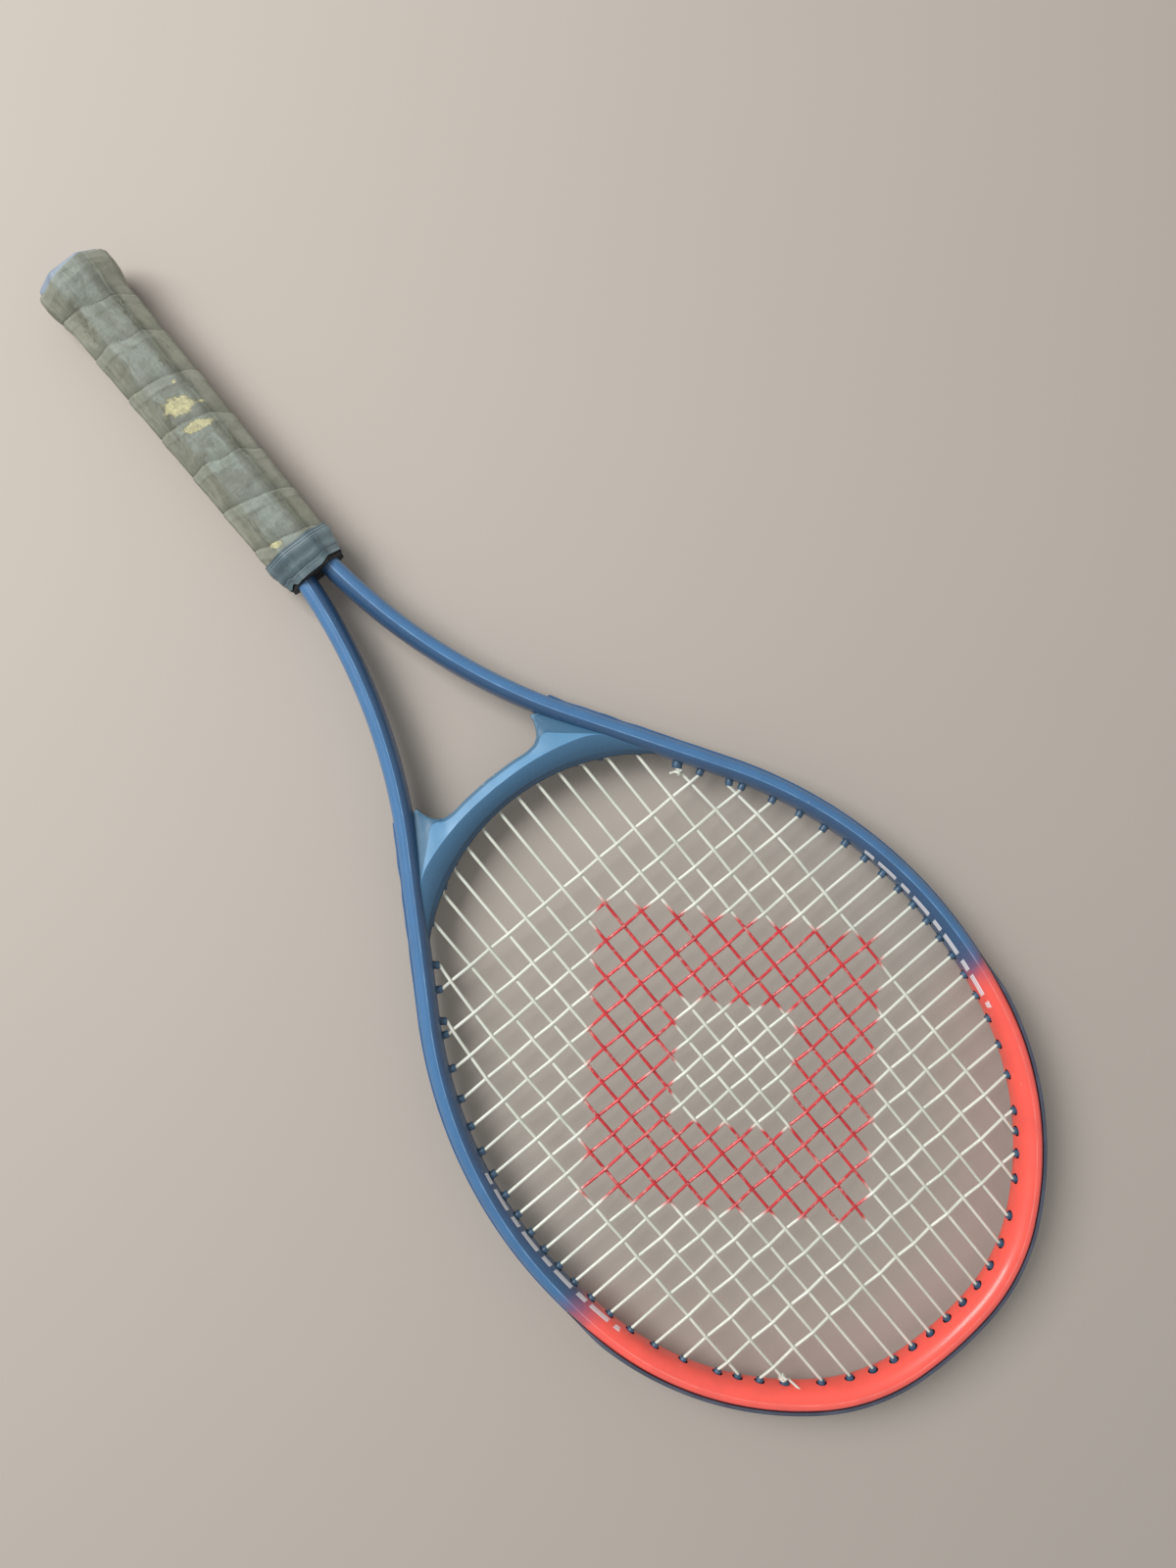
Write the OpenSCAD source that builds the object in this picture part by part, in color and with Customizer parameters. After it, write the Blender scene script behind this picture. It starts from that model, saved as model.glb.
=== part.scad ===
// Oversize tennis racket, strung, lying flat.
// Frame of reference: millimetres, origin at the centre of the butt end face,
// +Y along the racket towards the tip, +X across the head, +Z up off the
// string plane. The strings lie in the plane Z = 0.
//
// The rim is one hollow tube bent into a hairpin. Its centreline is a chain of
// arcs that meet tangentially, walked from the tip round one side and down to
// the handle; the other side is its mirror image. Every hole, grommet and
// string end is found from that chain, so a change of one size carries through.

/* [Overall] */
// length from the butt end to the outside of the bumper
overall_len = 685.8; // [600:0.1:720]
// half of the distance between the two tube legs in the handle
leg_x = 5.6; // [5.4:0.1:8]

/* [Rim tube] */
// width of the tube across the string plane
tube_w = 10.2; // [8:0.1:14]
// height of the tube off the string plane, the beam
tube_h = 20; // [16:0.5:28]
// wall of the tube
tube_wall = 1.4; // [1:0.1:2]
// depth of the channel round the outside of the rim
channel_d = 1.8; // [1.4:0.1:2.2]
// height of that channel
channel_h = 9.2; // [6:0.1:11]
// how far the channel runs on below the side strips
channel_run = 4; // [1:0.5:20]
// how square the tube section is, 2 is an ellipse
tube_square = 2.6; // [2:0.1:4]
// the same for the inner side of the top, lower leaves more of a crease
tube_crease = 1.9; // [1.6:0.1:2.6]

/* [Rim outline] */
// radius of the tip
r_tip = 190.5; // [120:0.5:300]
// half turn of the tip arc, degrees
a_tip = 6.4; // [3:0.1:12]
// radius of the shoulder
r_shoulder = 94; // [70:0.5:130]
// turn of the shoulder arc
a_shoulder = 33.3; // [20:0.1:45]
// radius of the upper side
r_side = 171; // [120:0.5:260]
// turn of the upper side
a_side = 41.2; // [25:0.1:50]
// radius of the flattest part of the side
r_flat = 302; // [200:1:500]
// turn of the flattest part
a_flat = 8; // [4:0.1:16]
// radius of the lower side
r_lower = 249; // [180:1:360]
// turn of the lower side
a_lower = 33.5; // [25:0.1:42]
// radius of the reverse bend down to the handle
r_neck = 288; // [200:1:360]

/* [Throat bridge] */
// radius of the string side of the bridge
bridge_r = 107.5; // [95:0.5:125]
// distance of the bridge from the tip, at its middle
bridge_y = 369.3; // [355:0.1:385]
// depth of the bridge along the racket
bridge_d = 15; // [10:0.5:20]
// height of the bridge
bridge_h = 15.6; // [12:0.1:18]
// height left at the throat side edge, below the bevel
bridge_edge_h = 11; // [9.6:0.1:14]
// width of that bevel
bridge_bevel = 4.4; // [2:0.1:7]
// depth of the string channel along the throat side of the bridge
bridge_channel_d = 2.6; // [1.8:0.1:4]
// half width of the throat side edge before the horns
horn_x = 34.6; // [30:0.5:40]
// how far the horns reach down the legs
horn_len = 16; // [8:0.5:20]

/* [String bed] */
// string thickness
string_d = 1.3; // [1.1:0.01:1.5]
// height of the weave above and below the plane
weave = 0.72; // [0.68:0.01:0.9]
// distance of the first cross string above the tie-off barrel at the throat
cross_y = 9.8; // [7:0.1:12]
// spacing of the main strings in the middle of the bed
main_pitch = 11.6; // [11.4:0.01:11.8]
// spacing of the cross strings in the middle of the bed
cross_pitch = 11.25; // [11:0.01:11.4]
// how far the last main bends in towards its throat hole
main_bend = 4.2; // [3:0.1:6]
// length over which the last two mains bend
bend_len = 60; // [30:1:100]
// how strongly the bridge holes fan in towards the throat
fan = 74; // [60:1:120]

/* [Grommets] */
// bore of a grommet barrel
barrel_bore = 2.2; // [2:0.1:2.6]
// outside of a grommet barrel
barrel_d = 3.9; // [3.6:0.1:4.6]
// outside of the two tie-off barrels, wide enough for two strings
tie_d = 5.2; // [5:0.1:6]
// bore of the two tie-off barrels
tie_bore = 3.8; // [3.6:0.1:4.2]
// how far a barrel stands inside the rim
barrel_out = 3; // [2:0.1:5]
// how far a barrel stands out of the bridge
bridge_barrel_out = 0.4; // [0.2:0.1:3]
// how much the barrels lean to the rim rather than along the string
lean = 0.8; // [0.4:0.05:1]
// height of the side strips above the rim
strip_proud = 0.5; // [0.4:0.1:1.4]
// height of the bumper above the rim
bumper_proud = 1.6; // [1:0.1:2.4]
// height of the bumper off the string plane
bumper_h = 13.2; // [11:0.1:16]
// distance from the tip to the joint between bumper and side strips
strip_joint_y = 154.8; // [152:0.1:158]
// distance from the tip to the lower end of the side strips
strip_low_y = 394.8; // [375:0.1:405]

/* [Handle] */
// how far the handle moulding reaches past the place where the legs part
pallet_top = 27.7; // [10:0.1:34]
// handle moulding across the string plane
pallet_w = 29.5; // [27:0.1:32]
// handle moulding off the string plane
pallet_h = 26.1; // [25:0.1:29]
// bevel of the handle moulding
bevel = 7.9; // [6:0.1:9]
// thickness of the cushion grip
base_t = 1; // [0.8:0.1:2]
// distance of the top of the cushion grip below the top of the moulding
base_top = 6; // [5:0.1:20]
// thickness of the overgrip
over_t = 0.5; // [0.4:0.05:0.8]
// advance of the overgrip per turn
over_pitch = 22; // [18:0.5:28]
// overlap of one turn on the last
over_lap = 3; // [2:0.1:5]
// distance of the top of the overgrip below the top of the moulding
over_top = 11.2; // [10.5:0.1:25]
// thickness of the finishing tape
tape_t = 0.35; // [0.3:0.05:0.8]
// distance of the lower edge of the finishing tape below the top of the moulding
tape_low = 16.4; // [14:0.1:30]
// distance of the upper edge of the finishing tape below the top of the moulding
tape_top = 2.3; // [1.5:0.1:5]

/* [Butt cap] */
// length of the cap up the handle
cap_len = 26; // [20:0.5:32]
// how far the cap flares beyond the handle moulding
cap_flare = 1.9; // [1:0.1:3]
// wall of the cap skirt
cap_wall = 1; // [0.8:0.1:1.6]
// thickness of the cap end wall
cap_end = 2.6; // [2:0.1:4]
// width of the door in the end wall
door_w = 15; // [10:0.5:18]
// height of the door
door_h = 12; // [8:0.5:14]
// wire of the staples that hold the cap
staple_d = 0.9; // [0.7:0.05:1.1]

/* [Hidden] */

fit = 0.1;
soft_fit = 0.2;
bore_fit = 0.1;
$fa = 6;
$fs = 0.4;

// ---- string pattern ----
MAINS = 8;
CROSSES = 20;
// the mains are evenly spaced in the middle and open out towards the sides
function eased(t) = let(c = min(1, max(0, t))) c * c * (3 - 2 * c);
function main_gap(i) = main_pitch * (1 + 0.4 * eased((i - 4) / 3.5));
function main_x(i) = i == 1 ? main_pitch / 2 : main_x(i - 1) + main_gap(i - 1);
main_list = [for (i = [1:MAINS]) main_x(i)];
// towards the throat the two outer mains bend in to their holes
function main_in(i) = i < MAINS - 2 ? 0 : i == MAINS - 2 ? main_bend * 0.75 : main_bend;
function main_at(i, y) = main_list[i]
    - main_in(i) * pow(max(0, 1 - (y - throat_ends[i][0][1]) / bend_len), 2);
// the crosses are closest in the middle and open out towards the throat and the tip
function cross_gap(j) = cross_pitch * (1 + 0.41 * pow(max(0, (9.5 - j) / 8.5), 1.4)
    + 0.66 * pow(max(0, (j - 10) / 9), 2) + (j == 1 ? 0.3 : 0));
function cross_at(j) = j == 1 ? throat_ends[TIE][0][1] + cross_y : cross_at(j - 1) + cross_gap(j - 1);

// ---- the rim centreline ----
y_tip = overall_len - bumper_proud - tube_w / 2;
radii = [r_tip, r_shoulder, r_side, r_flat, r_lower];
turns = [a_tip, a_shoulder, a_side, a_flat, a_lower];
function along(h, r) = [r * sin(h), r * cos(h)];
function total(v, n) = n == 0 ? 0 : v[n - 1] + total(v, n - 1);
function start_of(i) = i == 0 ? [0, y_tip] :
    start_of(i - 1) - along(total(turns, i - 1), radii[i - 1]) + along(total(turns, i), radii[i - 1]);
throat_a = total(turns, 5);
slant = throat_a - 90;
neck_start_x = leg_x + r_neck * (1 - cos(slant));
leg_len = (start_of(5)[0] - neck_start_x) / sin(slant);
neck_p = start_of(5) + leg_len * [cos(throat_a), -sin(throat_a)];
legs_p = [leg_x, neck_p[1] - r_neck * sin(slant)];
leg_end_y = 14;
// each piece: start length, length, start point, heading, signed radius (0 is straight)
function arc_len(i) = radii[i] * turns[i] * PI / 180;
arc_lens = [for (i = [0:4]) arc_len(i)];
s_leg = total(arc_lens, 5);
s_neck = s_leg + leg_len;
s_legs = s_neck + r_neck * slant * PI / 180;
s_end = s_legs + legs_p[1] - leg_end_y;
PIECES = concat(
    [for (i = [0:4]) [total(arc_lens, i), arc_lens[i], start_of(i), total(turns, i), radii[i]]],
    [[s_leg, leg_len, start_of(5), throat_a, 0],
     [s_neck, s_legs - s_neck, neck_p, throat_a, -r_neck],
     [s_legs, s_end - s_legs, legs_p, 90, 0]]);
function piece_at(s, k = 0) = k == len(PIECES) - 1 || s < PIECES[k][0] + PIECES[k][1] ? PIECES[k] :
    piece_at(s, k + 1);
function head_in(p, s) = p[4] == 0 ? p[3] : p[3] + (s - p[0]) / p[4] * 180 / PI;
function heading(s) = head_in(piece_at(s), s);
function point_in(p, s, off) = let(h = head_in(p, s))
    (p[4] == 0 ? p[2] + (s - p[0]) * [cos(h), -sin(h)] : p[2] - along(p[3], p[4]) + along(h, p[4]))
    + along(h, off);
function rim(s, off) = point_in(piece_at(s), s, off);
// length along the rim at which coordinate c of the offset curve equals v
function hunt(c, v, off, lo, hi, k = 26) = let(m = (lo + hi) / 2) k == 0 ? m :
    (rim(m, off)[c] - v) * (rim(hi, off)[c] - v) <= 0 ? hunt(c, v, off, m, hi, k - 1) :
    hunt(c, v, off, lo, m, k - 1);
s_wide = total(arc_lens, 2) + (90 - a_tip - a_shoulder) * PI / 180 * r_side;
s_joint = hunt(1, overall_len - strip_joint_y, 0, 0, s_end);
s_low = hunt(1, overall_len - strip_low_y, 0, 0, s_end);
// heights on the handle
handle_top = legs_p[1] + pallet_top;
cushion_y = handle_top - base_top;
wrap_y = handle_top - over_top;
tape_y0 = handle_top - tape_low;
tape_y1 = handle_top - tape_top;

// ---- sections of the rim: x is outwards, y is up ----
function spow(v, e) = sign(v) * pow(abs(v), e);
function oval(w, h, e, n) = [for (i = [0:n - 1]) let(a = 360 * (i + 0.5) / n)
    [w / 2 * spow(cos(a), 2 / e), h / 2 * spow(sin(a), 2 / e)]];
wall_floor = tube_w / 2 - channel_d;
band_in = wall_floor + fit;
groove_base = 0.7;
groove_floor = band_in + groove_base;
string_n = groove_floor + fit + string_d / 2;
groove_h = 3.6;
strip_out = tube_w / 2 + strip_proud;
bumper_out = tube_w / 2 + bumper_proud;
band_h = channel_h - 2 * soft_fit;

// $g grows a section by a hair on every second piece of the rim, so that pieces
// of different radius lap into each other cleanly
STEP = 0.01;
LAP = 0.06;
$g = 0;

// outside the top is rounded; inside it falls away from a soft crease down a flatter bevel
function tube_oval(w, h, n) = [for (i = [0:n - 1]) let(a = 360 * (i + 0.5) / n)
    [w / 2 * spow(cos(a), 2 / (cos(a) > 0 ? tube_square : tube_crease)),
     h / 2 * spow(sin(a), 2 / tube_square)]];

module tube_outer(grow = 0) {
    polygon(tube_oval(tube_w + 2 * (grow + $g), tube_h + 2 * (grow + $g), 20));
}

module tube_section() {
    difference() {
        tube_outer();
        translate([-channel_d / 2 + 0.05, 0])
            polygon(oval(tube_w - 2 * tube_wall - channel_d + 0.1 - 2 * $g,
                tube_h - 2 * tube_wall - 2 * $g, 2.3, 16));
    }
}

// a channel section open outwards, with a groove for the string
module band(outside, h) {
    polygon([[band_in - $g, -h / 2 - $g], [outside + $g, -h / 2 - $g],
        [outside + $g, $g - groove_h / 2], [groove_floor + $g, $g - groove_h / 2],
        [groove_floor + $g, groove_h / 2 - $g], [outside + $g, groove_h / 2 - $g],
        [outside + $g, h / 2 + $g], [band_in - $g, h / 2 + $g]]);
}

module strip_section() {
    band(strip_out, band_h);
}

module bumper_section() {
    lip_in = tube_w / 2 + 0.15 - $g;
    lip = bumper_out - 0.6 + $g;
    face = bumper_out + $g;
    top = bumper_h / 2 + $g;
    gap = groove_h / 2 - $g;
    half = [[band_in - $g, band_h / 2 + $g], [lip_in, band_h / 2 + $g], [lip_in, top], [lip, top],
        [face, top - 1.4], [face, gap], [groove_floor + $g, gap]];
    polygon(concat(half, [for (i = [len(half) - 1:-1:0]) [half[i][0], -half[i][1]]]));
}

// sweep a section along the rim from length a to length b
module run(a, b, first = 0) {
    for (k = [first:len(PIECES) - 1]) {
        p = PIECES[k];
        $g = k % 2 * STEP;
        lo = max(a, p[0] - k % 2 * LAP);
        hi = min(b, p[0] + p[1] + k % 2 * LAP);
        if (hi - lo > 0.01) {
            h0 = head_in(p, lo);
            h1 = head_in(p, hi);
            if (p[4] == 0) {
                translate(point_in(p, lo, 0))
                    rotate([0, 0, -h0])
                        rotate([90, 0, 90])
                            linear_extrude(hi - lo)
                                children();
            } else if (p[4] > 0) {
                translate(p[2] - along(p[3], p[4]))
                    rotate([0, 0, 90 - h1])
                        rotate_extrude(angle = h1 - h0)
                            translate([p[4], 0])
                                children();
            } else {
                translate(p[2] - along(p[3], p[4]))
                    rotate([0, 0, 270 - h0])
                        rotate_extrude(angle = h0 - h1)
                            translate([-p[4], 0])
                                mirror([1, 0])
                                    children();
            }
        }
    }
}

module both() {
    children();
    mirror([1, 0, 0])
        children();
}

// sweep a section round the tip and down both sides to length b
module hoop(b) {
    translate([0, y_tip - r_tip])
        rotate([0, 0, 90 - a_tip])
            rotate_extrude(angle = 2 * a_tip)
                translate([r_tip, 0])
                    children();
    both()
        run(0, b, 1)
            children();
}

// ---- string ends ----
// an end is [mouth point, unit vector outwards, length to the groove, groove length, on bridge]
bridge_c = overall_len - bridge_y + bridge_r;
bridge_out = bridge_r + bridge_d;
mouth_n = -(tube_w / 2 + barrel_out);
function unit(v) = v / norm(v);
function frame_end(c, v, dir, lo, hi) = let(s = hunt(c, v, mouth_n, lo, hi), h = heading(s),
    u = unit((1 - lean) * dir + lean * [sin(h), cos(h)]),
    reach = (string_n - mouth_n) / (u * [sin(h), cos(h)]),
    m = rim(s, mouth_n), e = m + u * reach)
    [m, u, reach, hunt(c, e[c], string_n, lo, hi), false];
function on_ring(x, r) = [x, bridge_c - sqrt(r * r - x * x)];
function bridge_end(x) = let(m = on_ring(x, bridge_r - bridge_barrel_out), ex = x / (1 + x / fan),
    e = on_ring(ex, ring_string), u = unit(e - m))
    [m, u, norm(e - m), asin(ex / ring_string) * PI / 180 * ring_string, true];
ring_floor = bridge_out - bridge_channel_d;
ring_string = ring_floor + fit + groove_base + fit + string_d / 2;
BRIDGE_MAINS = 5;
// the two tie-off places: beside the seventh main, at the throat on one side
// and at the tip on the other
TIE = 6;
tip_ends = [for (x = main_list) frame_end(0, x, [0, 1], 0, s_wide)];
throat_ends = [for (i = [0:MAINS - 1]) i < BRIDGE_MAINS ? bridge_end(main_list[i]) :
    frame_end(0, main_list[i] - main_in(i), [0, -1], s_wide, s_neck)];
cross_list = [for (j = [1:CROSSES]) cross_at(j)];
side_ends = [for (y = cross_list) frame_end(1, y, [1, 0], 0, s_neck)];
frame_ends = concat(tip_ends, [for (i = [BRIDGE_MAINS:MAINS - 1]) throat_ends[i]], side_ends);
bridge_ends = [for (i = [0:BRIDGE_MAINS - 1]) throat_ends[i]];

module bar_at(e, from, to, d) {
    translate(concat(e[0] + e[1] * from, 0))
        rotate([0, 0, atan2(e[1][1], e[1][0])])
            rotate([0, 90, 0])
                cylinder(d = d, h = to - from);
}

// ---- frame ----
module frame() {
    color([0.16, 0.36, 0.6])
        difference() {
            hoop(s_end)
                tube_section();
            hoop(s_low + channel_run)
                translate([wall_floor - $g, -channel_h / 2 - $g])
                    square([channel_d * 2, channel_h + 2 * $g]);
            both()
                for (e = frame_ends)
                    bar_at(e, 1, e[2] + 1, barrel_d + 2 * bore_fit);
            mirror([1, 0, 0])
                bar_at(throat_ends[TIE], 1, throat_ends[TIE][2] + 1, tie_d + 2 * bore_fit);
            bar_at(tip_ends[TIE], 1, tip_ends[TIE][2] + 1, tie_d + 2 * bore_fit);
        }
}

// ---- throat bridge ----
// the ring dies into the tube where the two run side by side
bridge_half_a = 90 - slant;
strip_a = asin((horn_x - 1.4) / bridge_out);

module bridge_section() {
    polygon([[bridge_r, -bridge_h / 2 + 1], [bridge_r + 1, -bridge_h / 2],
        [bridge_out - bridge_bevel, -bridge_h / 2], [bridge_out, -bridge_edge_h / 2],
        [bridge_out, bridge_edge_h / 2], [bridge_out - bridge_bevel, bridge_h / 2],
        [bridge_r + 1, bridge_h / 2], [bridge_r, bridge_h / 2 - 1]]);
}

// outline of one horn: from the ring, round a fillet, down to a point on the leg
horn_fillet = 7;
horn_h = bridge_edge_h - 0.6;
function leg_in(y, off) = rim(hunt(1, y, off, s_wide, s_legs), off);
horn_top = on_ring(horn_x, bridge_out - 2);
horn_c = on_ring(horn_x - 1, bridge_out) + [0, -horn_fillet];
horn_tip = leg_in(horn_c[1] - horn_len + horn_fillet, -tube_w / 2 - 0.6);
horn_pts = concat([horn_top + [-2, 1.2]],
    [for (a = [90:-15:15]) horn_c + [-horn_fillet + horn_fillet * cos(a) + 0.6, horn_fillet * sin(a)]],
    [horn_tip, leg_in(horn_tip[1], 0), leg_in(horn_top[1] + 14, 0), horn_top + [6, 6]]);

// turn a section about the centre of the string side arc
module on_bridge_arc(a) {
    rotate([0, 0, -90 - a])
        rotate_extrude(angle = 2 * a)
            children();
}

module throat_bridge() {
    color([0.36, 0.55, 0.68])
        difference() {
            union() {
                translate([0, bridge_c, 0])
                    on_bridge_arc(bridge_half_a)
                        bridge_section();
                both()
                    translate([0, 0, -horn_h / 2])
                        linear_extrude(horn_h)
                            polygon(horn_pts);
            }
            both()
                run(s_wide + 20, s_legs)
                    tube_outer(fit);
            both()
                run(s_wide + 20, s_legs)
                    translate([0, -tube_h])
                        square([60, 2 * tube_h]);
            translate([0, bridge_c, 0])
                on_bridge_arc(strip_a + 0.2)
                    translate([ring_floor, -channel_h / 2])
                        square([bridge_channel_d + 3, channel_h]);
            both()
                for (e = bridge_ends)
                    bar_at(e, -6, e[2] + 2, barrel_d + 2 * bore_fit);
        }
}

// ---- grommets ----
module barrels(list, d = barrel_d) {
    for (e = list)
        bar_at(e, 0, e[2] - (string_n - groove_floor) - 0.2, d);
}

module bores(list, d = barrel_bore) {
    for (e = list)
        bar_at(e, -1, e[2] + 2, d);
}

function bumper_ends() = [for (e = concat(tip_ends, side_ends)) if (e[3] < s_joint) e];
function strip_ends() = [for (e = frame_ends) if (e[3] > s_joint) e];

module bumper_guard() {
    color([0.2, 0.26, 0.34])
        difference() {
            union() {
                hoop(s_joint - 0.3)
                    bumper_section();
                both()
                    barrels(bumper_ends());
                barrels([tip_ends[TIE]], tie_d);
            }
            both()
                bores(bumper_ends());
            bores([tip_ends[TIE]], tie_bore);
        }
}

module side_strip(tie) {
    narrow = [for (e = strip_ends()) if (!tie || e != throat_ends[TIE]) e];
    color([0.2, 0.28, 0.4])
        difference() {
            union() {
                run(s_joint + 0.3, s_low)
                    strip_section();
                barrels(narrow);
                if (tie)
                    barrels([throat_ends[TIE]], tie_d);
            }
            bores(narrow);
            if (tie)
                bores([throat_ends[TIE]], tie_bore);
        }
}

module grommet_strip_left() {
    side_strip(false);
}

module grommet_strip_right() {
    mirror([1, 0, 0])
        side_strip(true);
}

module bridge_grommets() {
    color([0.2, 0.28, 0.4])
        difference() {
            union() {
                translate([0, bridge_c, 0])
                    on_bridge_arc(strip_a)
                        difference() {
                            translate([ring_floor + fit, -band_h / 2])
                                square([bridge_channel_d - fit - 0.2, band_h]);
                            translate([ring_floor + fit + groove_base, -groove_h / 2])
                                square([4, groove_h]);
                        }
                both()
                    for (e = bridge_ends)
                        bar_at(e, 0, e[2] - 1.2, barrel_d);
            }
            both()
                bores(bridge_ends);
        }
}

// ---- sweeping a loop of rings into one solid ----
// each ring lists the lower edge then the upper edge backwards, so ring ends close in quads
module skin(rings, closed = false) {
    n = len(rings);
    m = len(rings[0]);
    last = closed ? n : n - 1;
    sides = [for (i = [0:last - 1], j = [0:m - 1]) let(a = i * m + j, b = i * m + (j + 1) % m,
        c = (i + 1) % n * m + (j + 1) % m, d = (i + 1) % n * m + j) each [[a, b, c], [a, c, d]]];
    cap = [for (j = [0:m / 2 - 2]) each [[j, m - 1 - j, j + 1], [j + 1, m - 1 - j, m - 2 - j]]];
    end = [for (f = cap) [f[2], f[1], f[0]] + (n - 1) * m * [1, 1, 1]];
    polyhedron([for (r = rings) each r], concat(sides, closed ? [] : concat(cap, end)));
}

SIDES = 6;
function ring_at(path, i) = let(n = len(path),
    d = unit(unit(path[min(i + 1, n - 1)] - path[min(i, n - 2)])
        + unit(path[max(i, 1)] - path[max(i - 1, 0)])),
    side = unit(cross(d, [0, 0, 1])), up = cross(side, d))
    [for (k = [0:SIDES - 1]) let(a = 360 * k / SIDES)
        path[i] + string_d / 2 * (cos(a) * side + sin(a) * up)];

module string_along(path) {
    skin([for (i = [0:len(path) - 1]) ring_at(path, i)]);
}

// ---- string paths ----
CHAMFER = 1.3;
LOOP_Z = 0.85;
TIE_Z = 0.85;
function put(p, sx, z) = [sx * p[0], p[1], z];
function flip(v) = [for (i = [len(v) - 1:-1:0]) v[i]];
// from the mouth to just below the groove
function inner_pts(e, sx, z) = [put(e[0], sx, z), put(e[0] + e[1] * (e[2] - CHAMFER), sx, z)];
function groove_pt(e, sx, s, z) = e[4] ? let(a = s / ring_string * 180 / PI)
    put([ring_string * sin(a), bridge_c - ring_string * cos(a)], 1, z) : put(rim(s, string_n), sx, z);
function groove_s(e, sx) = e[4] ? sx * e[3] : e[3];
function loop(e, sx, f, sy, z) = let(a = groove_s(e, sx), b = groove_s(f, sy), k = sign(b - a) * CHAMFER)
    [for (t = [0:3]) groove_pt(e, sx, a + k + (b - a - 2 * k) * t / 3, z)];

// over or under at main i, cross j, on side sx
function over(i, j, sx) = ((sx > 0 ? i : -i - 1) + j + 100) % 2 == 0 ? weave : -weave;
function main_mid(i, sx) =
    [for (j = [0:CROSSES - 1]) if (cross_list[j] > throat_ends[i][0][1] + 0.8
        && cross_list[j] < tip_ends[i][0][1] - 0.8)
        [sx * main_at(i, cross_list[j]), cross_list[j], over(i, j, sx)]];
function low_z(i, sx) = sx < 0 && i == TIE ? -TIE_Z : 0;
function top_z(i, sx) = sx > 0 && i == TIE ? TIE_Z : 0;
// main i on side sx, from its throat end to its tip end
function main_run(i, sx) = concat(flip(inner_pts(throat_ends[i], sx, low_z(i, sx))), main_mid(i, sx),
    inner_pts(tip_ends[i], sx, top_z(i, sx)));
// up one main, round the tip, down the next; i counts the outer of each pair
function pair(i, sx) = concat(main_run(i, sx), loop(tip_ends[i], sx, tip_ends[i - 1], sx, LOOP_Z),
    flip(main_run(i - 1, sx)));
function throat_loop(i, sx) = loop(throat_ends[i], sx, throat_ends[i - 1], sx,
    sx < 0 && i == TIE ? -LOOP_Z : LOOP_Z);
function side_path(sx) = concat(pair(7, sx), throat_loop(6, sx), pair(5, sx), throat_loop(4, sx),
    pair(3, sx), throat_loop(2, sx), pair(1, sx));
tie_throat = throat_ends[TIE];
tie_tip = tip_ends[TIE];
main_path = concat(inner_pts(tie_throat, -1, TIE_Z), loop(tie_throat, -1, throat_ends[7], -1, LOOP_Z),
    side_path(-1), loop(throat_ends[0], -1, throat_ends[0], 1, LOOP_Z), flip(side_path(1)),
    [for (k = [1, 3]) groove_pt(throat_ends[7], 1, throat_ends[7][3] + k, LOOP_Z)]);

function cross_mid(j) = let(y = cross_list[j], reach = side_ends[j][0][0] - 0.8)
    concat([for (i = [MAINS - 1:-1:0]) if (main_at(i, y) < reach) [main_at(i, y), y, -over(i, j, 1)]],
        [for (i = [0:MAINS - 1]) if (main_at(i, y) < reach) [-main_at(i, y), y, -over(i, j, -1)]]);
// cross j from +X to -X
function cross_run(j) = concat(flip(inner_pts(side_ends[j], 1, 0)), cross_mid(j),
    inner_pts(side_ends[j], -1, 0));
function cross_run_dir(j) = j % 2 == 0 ? cross_run(j) : flip(cross_run(j));
function cross_loop(j) = let(sx = j % 2 == 0 ? -1 : 1)
    loop(side_ends[j], sx, side_ends[j + 1], sx, -LOOP_Z);
cross_path = concat([for (k = [3, 1]) groove_pt(side_ends[0], 1, side_ends[0][3] - k, LOOP_Z)],
    [for (j = [0:CROSSES - 1]) each concat(cross_run_dir(j), j < CROSSES - 1 ? cross_loop(j) : [])],
    loop(side_ends[CROSSES - 1], 1, tie_tip, 1, -LOOP_Z), flip(inner_pts(tie_tip, 1, -TIE_Z)));

module main_string() {
    color([0.88, 0.88, 0.82])
        string_along(main_path);
}

module cross_string() {
    color([0.86, 0.86, 0.8])
        string_along(cross_path);
}

// three turns of string round the seventh main, with a cut tail
module knot(at, dir, tail) {
    turn_r = string_d / 2 + 0.35 + 0.6;
    color([0.9, 0.9, 0.86])
        translate(at)
            rotate([0, 0, dir])
                union() {
                    rotate([0, 90, 0])
                        rotate_extrude()
                            for (k = [0:2])
                                translate([turn_r, k * 0.95])
                                    circle(d = string_d);
                    translate([1, 0, turn_r])
                        rotate([0, 0, 35])
                            rotate([0, 90, 0])
                                cylinder(d = string_d, h = tail);
                }
}

module knot_throat() {
    knot(put(tie_throat[0] + [0, 1.6], -1, -TIE_Z + 0.1), 90, 3.4);
}

module knot_tip() {
    knot(put(tie_tip[0] - [0, 1.6], 1, TIE_Z - 0.1), -90, 6);
}

// ---- handle ----
cap_in = pallet_w / 2 - cap_wall;
function octagon(hx, hz, c) = [[hx, -hz + c], [hx, hz - c], [hx - c, hz], [-hx + c, hz],
    [-hx, hz - c], [-hx, -hz + c], [-hx + c, -hz], [hx - c, -hz]];
// an octagon grown outwards by d keeps its bevels square
function grown(d) = octagon(pallet_w / 2 + d, pallet_h / 2 + d, bevel + d * (2 - sqrt(2)));
function on_corner(k, d, y) = let(p = grown(d)[(k + 8) % 8]) [p[0], y, p[1]];

module along_y(y0, y1) {
    translate([0, y1, 0])
        rotate([90, 0, 0])
            linear_extrude(y1 - y0)
                children();
}

pallet_low = cap_end + 0.4;

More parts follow.
